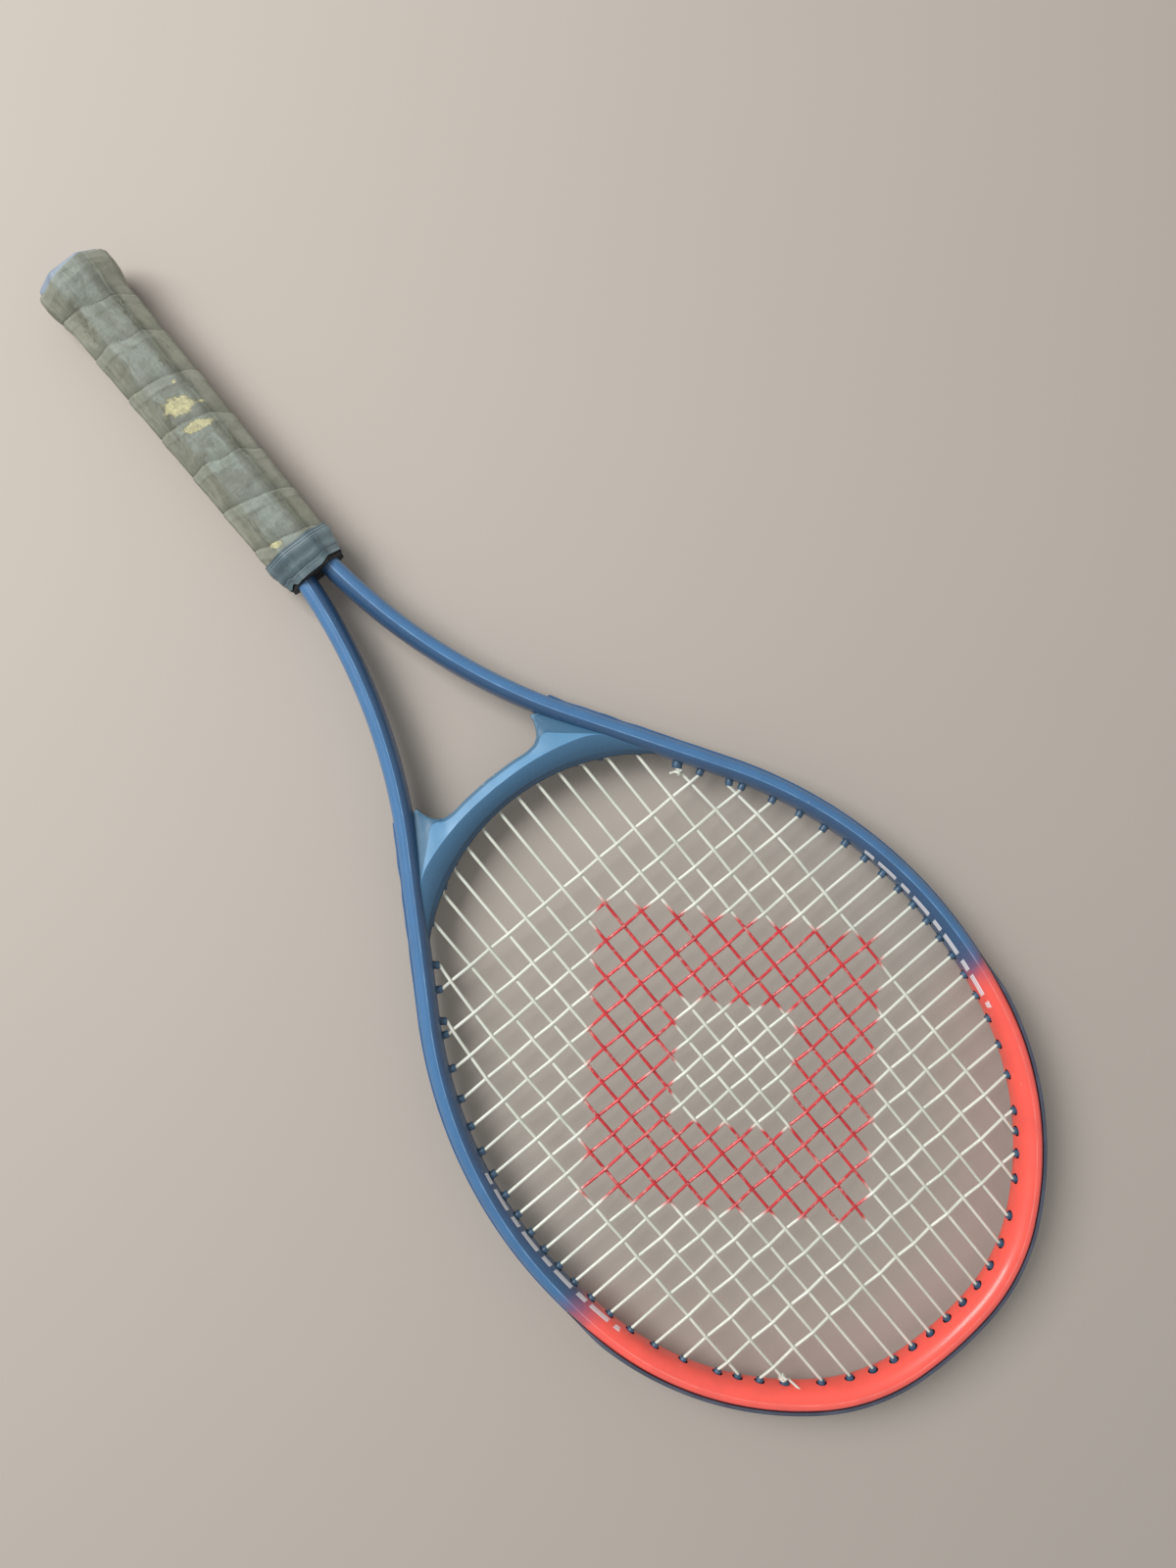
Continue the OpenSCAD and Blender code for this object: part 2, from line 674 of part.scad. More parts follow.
module pallet() {
    difference() {
        union() {
            along_y(pallet_low, cap_len + 1)
                polygon(grown(-cap_wall - soft_fit));
            along_y(cap_len + 0.3, handle_top)
                polygon(grown(0));
        }
        both()
            run(hunt(1, handle_top, 0, s_wide, s_end) - 2 * tube_w, s_end + 1)
                tube_outer(fit);
        along_y(pallet_low - 1, leg_end_y + 1)
            square([2 * (leg_x + tube_w / 2 + fit), 10], center = true);
        staples(0.1);
    }
}

module pallet_front() {
    color([0.07, 0.07, 0.08])
        intersection() {
            pallet();
            translate([-pallet_w, -1, fit / 2])
                cube([2 * pallet_w, handle_top + 2, pallet_h]);
        }
}

module pallet_back() {
    color([0.07, 0.07, 0.08])
        intersection() {
            pallet();
            translate([-pallet_w, -1, -pallet_h - fit / 2])
                cube([2 * pallet_w, handle_top + 2, pallet_h]);
        }
}

// how far the cap stands out beyond the moulding at distance y from the butt
flare_y = 9;
neck_y = 21;
cap_shape = [[0, cap_flare - 1.3], [1.6, cap_flare], [flare_y, cap_flare], [neck_y, 0],
    [overall_len, 0]];
function cap_out(y) = lookup(y, cap_shape);
staple_y = 15;
staple_x = pallet_w / 2 + cap_out(staple_y) - 0.6;

module staples(grow) {
    for (sx = [-1, 1]) {
        translate([sx * staple_x, staple_y, -4])
            cylinder(d = staple_d + 2 * grow, h = 8);
        for (z = [-4, 4])
            translate([sx * staple_x, staple_y, z])
                rotate([0, -90 * sx, 0])
                    cylinder(d = staple_d + 2 * grow, h = 4.4 + grow);
        for (z = [-4, 4])
            translate([sx * staple_x, staple_y, z])
                sphere(d = staple_d + 2 * grow);
    }
}

// a closed sleeve round the handle; each station is [distance from butt, inside, outside]
function sleeve(stations) = [for (k = [0:7]) concat(
    [for (p = stations) on_corner(k, p[1], p[0])],
    [for (i = [len(stations) - 1:-1:0]) on_corner(k, stations[i][2], stations[i][0])])];

module door_hole(grow) {
    translate([0, cap_end / 2, 0])
        cube([door_w + 2 * grow, cap_end + 0.02, door_h + 2 * grow], center = true);
}

module butt_cap() {
    color([0.5, 0.58, 0.66])
        difference() {
            skin([for (y = [0, 1.6, flare_y, neck_y, cap_len])
                [for (k = [0:7]) on_corner(-k, cap_out(y), y)]]);
            along_y(cap_end, cap_len + 1)
                polygon(grown(-cap_wall));
            door_hole(0);
            staples(0.1);
        }
}

module butt_cap_door() {
    color([0.45, 0.53, 0.62])
        union() {
            translate([0, 0.9, 0])
                cube([door_w - 2 * fit, 1.8, door_h - 2 * fit], center = true);
            for (sz = [-1, 1])
                translate([0, 2, sz * (door_h / 2 - 1)])
                    cube([5, 2.6, 1.2], center = true);
        }
}

module butt_cap_staples() {
    color([0.7, 0.7, 0.72])
        staples(0);
}

module base_grip() {
    stations = [for (y = [over_low, flare_y, neck_y, cushion_y])
        [y, cap_out(y) + soft_fit, cap_out(y) + soft_fit + base_t]];
    color([0.84, 0.78, 0.5])
        skin(sleeve(stations), true);
}

// the overgrip: one long ribbon wound up the handle, each turn lapping the last
over_low = 2.4;
over_in = base_t + 2 * soft_fit;
// the ribbon spans the rim of the flare a little clear of it
function over_seat(y) = over_in + cap_out(y) + 0.4 * max(0, 1 - abs(y - flare_y) / 9);
function over_ring(k) = let(y = over_low - over_pitch * 0.82 + over_pitch * k / 8,
    cuts = [[0, 0], [over_pitch / 3, 0], [over_pitch * 2 / 3, 0], [over_pitch - 0.4, 0],
        [over_pitch, over_t + 0.1], [over_pitch + over_lap, over_t + 0.1]],
    at = [for (i = [0:5]) let(v = y + over_pitch + over_lap - cuts[i][0])
        [min(max(v, over_low + 0.05 * (5 - i)), wrap_y - 0.05 * i), cuts[i][1]]])
    concat([for (c = at) on_corner(k, over_seat(c[0]) + c[1], c[0])],
        [for (i = [5:-1:0]) on_corner(k, over_seat(at[i][0]) + at[i][1] + over_t, at[i][0])]);
over_turns = (wrap_y - over_lap - 0.5 - over_low + over_pitch * 0.82) / over_pitch;

module overgrip() {
    color([0.5, 0.52, 0.46])
        skin([for (k = [0:floor(over_turns * 8)]) over_ring(k)]);
}

module finishing_tape() {
    over = over_in + 2 * over_t + 0.1 + soft_fit;
    base = base_t + 2 * soft_fit;
    stations = [[tape_y0, over, over + tape_t], [wrap_y - 1.6, over, over + tape_t],
        [wrap_y - 1.2, over, over + 2 * tape_t], [wrap_y + 0.6, over, over + 2 * tape_t],
        [wrap_y + 1.4, over - 0.6, over + tape_t], [wrap_y + 4, base, base + 2 * tape_t],
        [cushion_y + 0.2, base, base + 2 * tape_t], [tape_y1, soft_fit, soft_fit + 2 * tape_t]];
    color([0.45, 0.53, 0.55])
        skin(sleeve(stations), true);
}

frame();
throat_bridge();
bumper_guard();
grommet_strip_left();
grommet_strip_right();
bridge_grommets();
main_string();
cross_string();
knot_throat();
knot_tip();
pallet_front();
pallet_back();
butt_cap();
butt_cap_door();
butt_cap_staples();
base_grip();
overgrip();
finishing_tape();
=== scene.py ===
"""Looks of a strung oversize tennis racket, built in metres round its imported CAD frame.

Every new piece is a surface worked out with numpy: a section carried along the rim, along a
string or up the handle, or a profile turned about the axis of a hole. Lengths are written in
millimetres and scaled as the mesh is made. The racket lies with its butt at the origin, +Y to
the tip, +X across the head and the strings in the plane Z = 0.
"""
from functools import partialmethod
import bpy
import numpy as np
from mathutils import Matrix, Vector


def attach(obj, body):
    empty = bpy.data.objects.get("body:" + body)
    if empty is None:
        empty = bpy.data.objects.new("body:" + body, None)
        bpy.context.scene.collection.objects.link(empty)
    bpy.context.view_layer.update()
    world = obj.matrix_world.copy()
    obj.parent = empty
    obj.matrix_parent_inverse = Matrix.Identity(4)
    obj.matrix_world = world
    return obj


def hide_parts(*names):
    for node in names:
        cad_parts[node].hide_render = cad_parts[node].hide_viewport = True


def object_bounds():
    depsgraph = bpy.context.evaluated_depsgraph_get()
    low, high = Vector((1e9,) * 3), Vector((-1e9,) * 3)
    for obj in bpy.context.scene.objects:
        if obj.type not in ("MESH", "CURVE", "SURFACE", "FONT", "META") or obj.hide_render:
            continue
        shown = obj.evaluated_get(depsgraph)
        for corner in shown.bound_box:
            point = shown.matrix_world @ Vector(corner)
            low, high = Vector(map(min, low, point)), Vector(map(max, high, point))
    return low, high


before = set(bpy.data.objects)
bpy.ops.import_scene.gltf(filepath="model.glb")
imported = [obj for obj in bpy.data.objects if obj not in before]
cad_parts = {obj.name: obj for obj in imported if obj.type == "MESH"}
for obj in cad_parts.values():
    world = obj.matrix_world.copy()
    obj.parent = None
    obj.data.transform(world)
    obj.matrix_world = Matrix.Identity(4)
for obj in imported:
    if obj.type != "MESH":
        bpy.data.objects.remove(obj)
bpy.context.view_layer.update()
MM = 0.001


def put(name, data):
    """A new object in the scene."""
    new = bpy.data.objects.new(name, data)
    bpy.context.scene.collection.objects.link(new)
    return new


# ---- camera ----
eye = Vector((0.004675, 0.267905, 0.582028))
looking = Vector((-0.0703263, 0.11315134, -0.99108576))
upright = Vector((-0.63556421, -0.7708547, -0.04290886))
axes = Matrix((looking.cross(upright), upright, -looking)).transposed()
camera_data = bpy.data.cameras.new("camera")
camera_data.lens = 27.29
camera_data.sensor_width = 36
camera = put("camera", camera_data)
camera.matrix_world = Matrix.Translation(eye) @ axes.to_4x4()
bpy.context.scene.camera = camera
bpy.context.scene.view_settings.view_transform = "Standard"


# ================= the rim line =================
# the centreline of the tube: arcs that meet tangentially, from the tip round one side to the
# handle. Each row is [radius, turn in degrees]; the other side is its mirror image.
LENGTH, BUMPER_OUT, STRIP_OUT = 685.8, 1.6, 0.5
TUBE_W, TUBE_H = 10.2, 20.0
Y_TIP = LENGTH - BUMPER_OUT - TUBE_W / 2
ARCS = [(190.5, 6.4), (94.0, 33.3), (171.0, 41.2), (302.0, 8.0), (249.0, 33.5)]
NECK_R, LEG_X, LEG_END = 288.0, 5.6, 14.0
JOINT_Y, STRIP_LOW_Y = 531.0, 291.0     # where bumper meets side strip, and that strip ends


def heading_vectors(h):
    """Unit direction (cos h, -sin h) and outward normal (sin h, cos h) of a heading h that
    turns right."""
    return np.stack([np.cos(h), -np.sin(h)], -1), np.stack([np.sin(h), np.cos(h)], -1)


def rim_pieces():
    """Walks the arcs end to end. A row is [start length, length, start x, start y, heading,
    signed radius], with radius 0 for a straight."""
    rows, at, h, s = [], np.array([0.0, Y_TIP]), 0.0, 0.0
    for r, turn in ARCS:
        rows.append([s, r * np.radians(turn), *at, h, r])
        new = h + np.radians(turn)
        at = at - r * heading_vectors(h)[1] + r * heading_vectors(new)[1]
        s, h = s + r * np.radians(turn), new
    slant = h - np.pi / 2
    straight = (at[0] - LEG_X - NECK_R * (1 - np.cos(slant))) / np.sin(slant)
    rows.append([s, straight, *at, h, 0.0])
    at, s = at + straight * heading_vectors(h)[0], s + straight
    rows.append([s, NECK_R * slant, *at, h, -NECK_R])
    s += NECK_R * slant
    y = at[1] - NECK_R * np.sin(slant)
    rows.append([s, y - LEG_END, LEG_X, y, np.pi / 2, 0.0])
    return np.array(rows)


RIM = rim_pieces()
S_END = RIM[-1, 0] + RIM[-1, 1]
S_WIDE = RIM[2, 0] + (np.pi / 2 - RIM[2, 4]) * RIM[2, 5]    # where the head is widest
S_NECK = RIM[6, 0]


def rim_at(s, off=0.0):
    """Point and outward normal at signed length s from the tip, a distance off outside the
    centreline: on an arc centre + (r + off) (sin h, cos h), on a straight
    start + s (cos h, -sin h) + off (sin h, cos h)."""
    s = np.asarray(s, float)
    side, a = np.where(s < 0, -1.0, 1.0), np.abs(s)
    row = RIM[np.clip(np.searchsorted(RIM[:, 0], a, "right") - 1, 0, len(RIM) - 1)]
    past, r, bent = a - row[..., 0], row[..., 5], row[..., 5] != 0
    h = row[..., 4] + np.where(bent, past / np.where(bent, r, 1), 0)
    way, n0 = heading_vectors(row[..., 4])
    n = heading_vectors(h)[1]
    p = row[..., 2:4] + np.where(bent[..., None], r[..., None] * (n - n0), past[..., None] * way)
    p = p + n * np.asarray(off, float)[..., None]
    flip = np.stack([side, np.ones_like(side)], -1)
    return p * flip, n * flip


def length_where(axis, value, off, low, high):
    """Length along the rim, between low and high, at which coordinate axis of the offset line
    is value."""
    s = np.linspace(low, high, 40001)
    c = rim_at(s, off)[0][:, axis]
    order = np.argsort(c)
    return np.interp(value, c[order], s[order])


def unit(v):
    """Vectors scaled to length 1."""
    return v / np.linalg.norm(v, axis=-1, keepdims=True)


# ================= the string pattern =================
# mains are counted from the middle of one side: the one beside the tie-off, and how many go
# through the bridge. The outer two bend in by MAIN_IN over the last BEND above the throat
MAINS, CROSSES, TIE, BRIDGE_MAINS = 8, 20, 6, 5
MAIN_GAP, CROSS_GAP, FIRST_CROSS = 11.6, 11.25, 366.4
MAIN_IN, BEND = np.array([0, 0, 0, 0, 0, 0, 3.15, 4.2]), 60.0
STRING_D, SHOWN_R = 1.3, 0.82           # the gauge, and the radius drawn, a little fuller
WEAVE = 0.72                            # rise of a string over a crossing


def pattern():
    """Distances of the mains from the middle and of the crosses from the butt. The mains open
    out by an eased share towards the sides; the crosses open out by powers towards the throat
    and the tip."""
    i = np.arange(1, MAINS)
    c = np.clip((i - 4) / 3.5, 0, 1)
    mains = np.concatenate([[0.5], 0.5 + np.cumsum(1 + 0.4 * c * c * (3 - 2 * c))])
    j = np.arange(1, CROSSES)
    gap = 1 + 0.41 * np.clip((9.5 - j) / 8.5, 0, None) ** 1.4
    gap += 0.66 * np.clip((j - 10) / 9, 0, None) ** 2 + np.where(j == 1, 0.3, 0)
    return MAIN_GAP * mains, FIRST_CROSS + CROSS_GAP * np.concatenate([[0.0], np.cumsum(gap)])


MAIN_X, CROSS_Y = pattern()
# levels outwards: floor of the tube's channel, floor of the strip's groove, string
CHANNEL_D, CHANNEL_H, GROOVE_W = 1.8, 9.2, 3.6
GAP, STRIP_FLOOR = 0.1, 0.7
BARREL_OUT, BRIDGE_BARREL_OUT = 3.0, 0.4
LEAN, FAN = 0.8, 74.0                   # how far holes turn to the rim's normal; fan radius
WALL_FLOOR = TUBE_W / 2 - CHANNEL_D
GROOVE_FLOOR = WALL_FLOOR + GAP + STRIP_FLOOR
STRING_N = GROOVE_FLOOR + GAP + STRING_D / 2
MOUTH_N = -(TUBE_W / 2 + BARREL_OUT)
BRIDGE_R, BRIDGE_Y, BRIDGE_D, BRIDGE_TURN, RING_D = 107.5, 316.5, 15.0, 45.8, 2.6
BRIDGE_C, BRIDGE_OUT = BRIDGE_Y + BRIDGE_R, BRIDGE_R + BRIDGE_D
RING_FLOOR = BRIDGE_OUT - RING_D
RING_STRING = RING_FLOOR + GAP + STRIP_FLOOR + GAP + STRING_D / 2
S_JOINT = length_where(1, JOINT_Y, 0.0, 0, S_END)
S_LOW = length_where(1, STRIP_LOW_Y, 0.0, 0, S_END)


def rim_holes(axis, values, way, low, high):
    """Holes through the rim: mouth, unit vector outwards, reach to the string groove, length
    along the rim. The vector leans from the string's own line towards the rim's normal."""
    m, n = rim_at(length_where(axis, values, MOUTH_N, low, high), MOUTH_N)
    u = unit((1 - LEAN) * np.array(way, float) + LEAN * n)
    reach = (STRING_N - MOUTH_N) / np.sum(u * n, -1)
    end = m + u * reach[:, None]
    return m, u, reach, length_where(axis, end[:, axis], STRING_N, low, high)


def bridge_arc(a, r):
    """Points of the circle of radius r about the bridge's centre, at angles a from the side
    of the butt."""
    return np.stack([r * np.sin(a), BRIDGE_C - r * np.cos(a)], -1)


def bridge_holes(x):
    """Holes through the bridge, which fan in: the outer end lies at x / (1 + x / fan)."""
    r, end = BRIDGE_R - BRIDGE_BARREL_OUT, np.arcsin(x / (1 + x / FAN) / RING_STRING)
    m = bridge_arc(np.arcsin(x / r), r)
    way = bridge_arc(end, RING_STRING) - m
    return m, unit(way), np.linalg.norm(way, axis=-1), end * RING_STRING


TIP_HOLES = rim_holes(0, MAIN_X, (0, 1), 0, S_WIDE)
LOW_HOLES = rim_holes(0, (MAIN_X - MAIN_IN)[BRIDGE_MAINS:], (0, -1), S_WIDE, S_NECK)
SIDE_HOLES = rim_holes(1, CROSS_Y, (1, 0), 0, S_NECK)
BRIDGE_HOLES = bridge_holes(MAIN_X[:BRIDGE_MAINS])
THROAT_HOLES = [np.concatenate([a, b]) for a, b in zip(BRIDGE_HOLES, LOW_HOLES)]


def main_x(i, y):
    """Distance of main i from the middle at height y: the two outer mains bend in to their
    throat holes as the square of the share left of the bend."""
    left = np.clip(1 - (y - THROAT_HOLES[0][i, 1]) / BEND, 0, None)
    return MAIN_X[i] - MAIN_IN[i] * left ** 2


def mirror_holes(holes, side):
    """The same holes on the other side of the racket's middle line for side -1."""
    m, u, reach, s = holes
    return m * (side, 1), u * (side, 1), reach, s * side


# ================= making meshes =================
def ease(v, low, high):
    """0 at low, 1 at high, smooth between; low may be the larger."""
    t = np.clip((v - low) / (high - low), 0, 1)
    return t * t * (3 - 2 * t)


def hermite(t, a, b, m0, m1):
    """Cubic from a to b for t from 0 to 1 that leaves with slope m0 and arrives with m1."""
    t2, t3 = t ** 2, t ** 3
    return ((2 * t3 - 3 * t2 + 1) * a + (t3 - 2 * t2 + t) * m0
            + (3 * t2 - 2 * t3) * b + (t3 - t2) * m1)


def both_sides(v):
    """Lengths from the middle on, with the same ones mirrored in front of them."""
    return np.concatenate([-v[:0:-1], v])


def grid_uv(along, across):
    """UV grid of lengths along, in metres, by values across."""
    return np.stack(np.broadcast_arrays(np.asarray(along, float)[:, None] * MM, across), -1)


def surface(rings, uv=None, along=False, slot=0):
    """A grid of points (rings, points, 3) as (points, faces, uv of each face corner, slot of
    each face). Each ring is closed; with along the last ring meets the first, else both ends
    get a face. uv is a grid of the same size plus the closing row or column. Faces are turned
    to point outwards by the sign of the volume they enclose."""
    n, m = rings.shape[:2]
    rows = n if along else n - 1
    points = rings.reshape(-1, 3)
    i, j = (a.ravel() for a in np.meshgrid(np.arange(rows), np.arange(m), indexing="ij"))
    i2, j2, w = (i + 1) % n, (j + 1) % m, m + 1
    quads = np.stack([i * m + j, i * m + j2, i2 * m + j2, i2 * m + j], -1)
    corners = np.stack([i * w + j, i * w + j + 1, (i + 1) * w + j + 1, (i + 1) * w + j], -1)
    if uv is None:
        uv = np.stack(np.meshgrid(np.arange(rows + 1.0), np.arange(w + 0.0), indexing="ij"), -1)
    flat_uv = uv.reshape(-1, 2)
    faces, face_uv = [quads], [flat_uv[corners]]
    if not along:
        for row, order in ((0, slice(None, None, -1)), (n - 1, slice(None))):
            faces.append((row * m + np.arange(m))[order][None])
            face_uv.append(flat_uv[(row * w + np.arange(m))[order]][None])
    tri = points[quads[:, [0, 1, 2, 0, 2, 3]].reshape(-1, 3)] - points.mean(0)
    if np.einsum("ij,ij->", tri[:, 0], np.cross(tri[:, 1], tri[:, 2])) < 0:
        faces, face_uv = [f[:, ::-1] for f in faces], [u[:, ::-1] for u in face_uv]
    return points, faces, face_uv, slot


def make_piece(name, parts, finishes, stands_for=(), smooth=35):
    """Joins surfaces into one mesh object in metres, with its UV map, materials and sharp
    edges."""
    loops, starts, sizes, uvs, slots, base, total = [], [], [], [], [], 0, 0
    for p, faces, face_uv, slot in parts:
        for f, u in zip(faces, face_uv):
            loops.append((f + base).ravel())
            uvs.append(u.reshape(-1, 2))
            starts.append(total + np.arange(len(f)) * f.shape[1])
            sizes.append(np.full(len(f), f.shape[1]))
            slots.append(np.full(len(f), slot))
            total += f.size
        base += len(p)
    mesh = bpy.data.meshes.new(name)
    mesh.vertices.add(base)
    mesh.loops.add(total)
    mesh.polygons.add(sum(len(a) for a in starts))
    for target, key, rows, kind in (
            (mesh.vertices, "co", [p * MM for p, *_ in parts], np.float32),
            (mesh.loops, "vertex_index", loops, np.int32),
            (mesh.polygons, "loop_start", starts, np.int32),
            (mesh.polygons, "loop_total", sizes, np.int32),
            (mesh.polygons, "material_index", slots, np.int32)):
        target.foreach_set(key, np.concatenate(rows).astype(kind).ravel())
    uv_map = mesh.uv_layers.new(name="UVMap")
    uv_map.data.foreach_set("uv", np.concatenate(uvs).astype(np.float32).ravel())
    mesh.update(calc_edges=True)
    mesh.validate()
    mesh.shade_smooth()
    mesh.set_sharp_from_angle(angle=np.radians(smooth))
    for finish in finishes:
        mesh.materials.append(finish)
    piece = put(name, mesh)
    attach(piece, "root")
    if stands_for:
        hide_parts(*stands_for)
    return piece


def drill(piece, cutters, smooth):
    """Cuts closed shapes out of a piece; the walls they leave keep the cutters' own finish."""
    # the cutters' walls take their second finish, the painted shade of the holes
    tool = make_piece("tool", cutters, [RIM_PAINT, HOLE])
    cut = piece.modifiers.new("holes", "BOOLEAN")
    cut.operation, cut.solver, cut.object = "DIFFERENCE", "MANIFOLD", tool
    graph = bpy.context.evaluated_depsgraph_get()
    made = bpy.data.meshes.new_from_object(
        piece.evaluated_get(graph), preserve_all_data_layers=True, depsgraph=graph)
    piece.modifiers.clear()
    piece.data = made
    made.set_sharp_from_angle(angle=np.radians(smooth))
    bpy.data.objects.remove(tool)


def rim_rings(s, section):
    """A section of (out, up) points carried along the rim at signed lengths s; the section may
    vary with s."""
    p, n = rim_at(s)
    section = np.broadcast_to(section, (len(s),) + section.shape[-2:])
    out = p[:, None] + n[:, None] * section[..., 0:1]
    return np.concatenate([out, section[..., 1:2]], -1)


def turned(holes, profile, sides, along=False):
    """Profiles turned about the axes of holes, as a list of surfaces in the second finish. The
    profile is (distance outwards from the mouth, radius), alone or one for each hole."""
    m, u = holes[:2]
    a = np.arange(sides) * 2 * np.pi / sides
    profile = np.broadcast_to(profile, (len(m),) + np.shape(profile)[-2:])
    out, radius = (profile[:, :, k, None, None] for k in (0, 1))
    cross = np.stack([-u[:, 1], u[:, 0]], -1)[:, None, None]
    flat = m[:, None, None] + u[:, None, None] * out + cross * (radius * np.cos(a)[:, None])
    up = np.broadcast_to(radius * np.sin(a)[:, None], flat.shape[:-1] + (1,))
    return [surface(rings, along=along, slot=1) for rings in np.concatenate([flat, up], -1)]


def rounded(points, r):
    """A closed outline with its corners rounded: each corner becomes a quadratic curve from a
    point r before it to a point r after it."""
    p = np.asarray(points, float)
    before, after = np.roll(p, 1, 0) - p, np.roll(p, -1, 0) - p
    a, b = (p + unit(d) * np.minimum(r, np.linalg.norm(d, axis=1) * 0.45)[:, None]
            for d in (before, after))
    t = np.array([0, 0.5, 1])[None, :, None]
    curve = (1 - t) ** 2 * a[:, None] + 2 * t * (1 - t) * p[:, None] + t ** 2 * b[:, None]
    return curve.reshape(-1, 2)


# ================= finishes =================
def linear(*rgb):
    """Linear colour of an 8-bit display colour: ((c + 0.055) / 1.055) ^ 2.4 above the toe,
    c / 12.92 below."""
    c = np.array(rgb, float) / 255
    return (*np.where(c > 0.04045, ((c + 0.055) / 1.055) ** 2.4, c / 12.92), 1.0)


class Value:
    """A value in a material's wiring. Arithmetic on it adds the node that works it out."""

    def __init__(self, finish, socket):
        self.finish, self.socket = finish, socket

    def math(self, operation, b=0.0):
        """One Math node on this value and b."""
        return self.finish.add("ShaderNodeMath", {0: self, 1: b}, operation=operation)

    def __rsub__(self, a):
        return self.finish.add("ShaderNodeMath", {0: a, 1: self}, operation="SUBTRACT")

    def between(self, low, high, to_low=0.0, to_high=1.0, smooth=True):
        """to_low up to low, to_high from high on, eased or straight between."""
        return self.finish.add("ShaderNodeMapRange", {
            "Value": self, "From Min": low, "From Max": high, "To Min": to_low,
            "To Max": to_high}, interpolation_type="SMOOTHSTEP" if smooth else "LINEAR")

    def fall(self, low, high):
        """1 up to low, 0 from high on."""
        return self.between(low, high, 1.0, 0.0)

    def band(self, low, full, still, high):
        """1 from full to still, 0 below low and above high."""
        return self.between(low, full) * self.fall(still, high)


for name, operation in dict(
        __add__="ADD", __sub__="SUBTRACT", __mul__="MULTIPLY", __truediv__="DIVIDE",
        __abs__="ABSOLUTE", sine="SINE", root="SQRT", fraction="FRACT", least="MINIMUM",
        most="MAXIMUM").items():
    setattr(Value, name, partialmethod(Value.math, operation))


class Finish:
    """A material being wired: each method adds one node and returns its value."""

    def __init__(self, name, roughness=0.5, metallic=0.0, **shader):
        self.material = bpy.data.materials.new(name)
        self.material.use_nodes = True
        self.tree = self.material.node_tree
        self.shader = self.tree.nodes["Principled BSDF"]
        self.feed(self.shader, dict(Roughness=roughness, Metallic=metallic, **shader))

    def feed(self, node, inputs):
        """Links values to a node's sockets and writes plain numbers on them."""
        for key, value in inputs.items():
            socket = node.inputs[key.replace("_", " ") if isinstance(key, str) else key]
            if isinstance(value, Value):
                self.tree.links.new(value.socket, socket)
            else:
                socket.default_value = value

    def add(self, kind, inputs=(), output=0, **settings):
        """One output of a new node, or all of them for None."""
        node = self.tree.nodes.new(kind)
        for key, value in settings.items():
            setattr(node, key, value)
        self.feed(node, dict(inputs))
        if output is None:
            return [Value(self, socket) for socket in node.outputs]
        return Value(self, node.outputs[output])

    def place(self):
        """Object coordinates, in metres."""
        return self.add("ShaderNodeTexCoord", output="Object")

    def laid(self):
        """The surface's own UV."""
        return self.add("ShaderNodeTexCoord", output="UV")

    def parts(self, vector):
        """The three numbers of a vector."""
        return self.add("ShaderNodeSeparateXYZ", {"Vector": vector}, None)

    def stretch(self, vector, scale):
        """A vector scaled along each axis."""
        return self.add("ShaderNodeMapping", {"Vector": vector, "Scale": scale})

    def noise(self, vector, scale, detail=3.0, roughness=0.55, distortion=0.0):
        """Soft noise, mostly from 0.25 to 0.75."""
        return self.add("ShaderNodeTexNoise", {
            "Vector": vector, "Scale": scale, "Detail": detail, "Roughness": roughness,
            "Distortion": distortion}, "Fac")

    def cells(self, vector, scale):
        """Distance to the nearest of scattered points."""
        return self.add("ShaderNodeTexVoronoi", {"Vector": vector, "Scale": scale}, "Distance")

    def mix(self, share, a, b):
        """Colour a with a share of b. A triple is an 8-bit display colour."""
        a, b = (linear(*c) if isinstance(c, tuple) else c for c in (a, b))
        return self.add("ShaderNodeMix", {"Factor": share, 6: a, 7: b}, 2, data_type="RGBA")

    def layers(self, base, *layers):
        """Colours laid over a base in turn, each by its share."""
        for share, colour in layers:
            base = self.mix(share, base, colour)
        return base

    def tones(self, vector, scale, detail, a, b):
        """Soft blotches of two colours."""
        return self.mix(self.noise(vector, scale, detail).between(0.3, 0.7), a, b)

    def bump(self, height, strength, distance):
        """The normal over small relief."""
        return self.add("ShaderNodeBump", {
            "Height": height, "Strength": strength, "Distance": distance})

    def done(self, **inputs):
        """Feeds the shader and returns the material."""
        self.feed(self.shader, inputs)
        return self.material


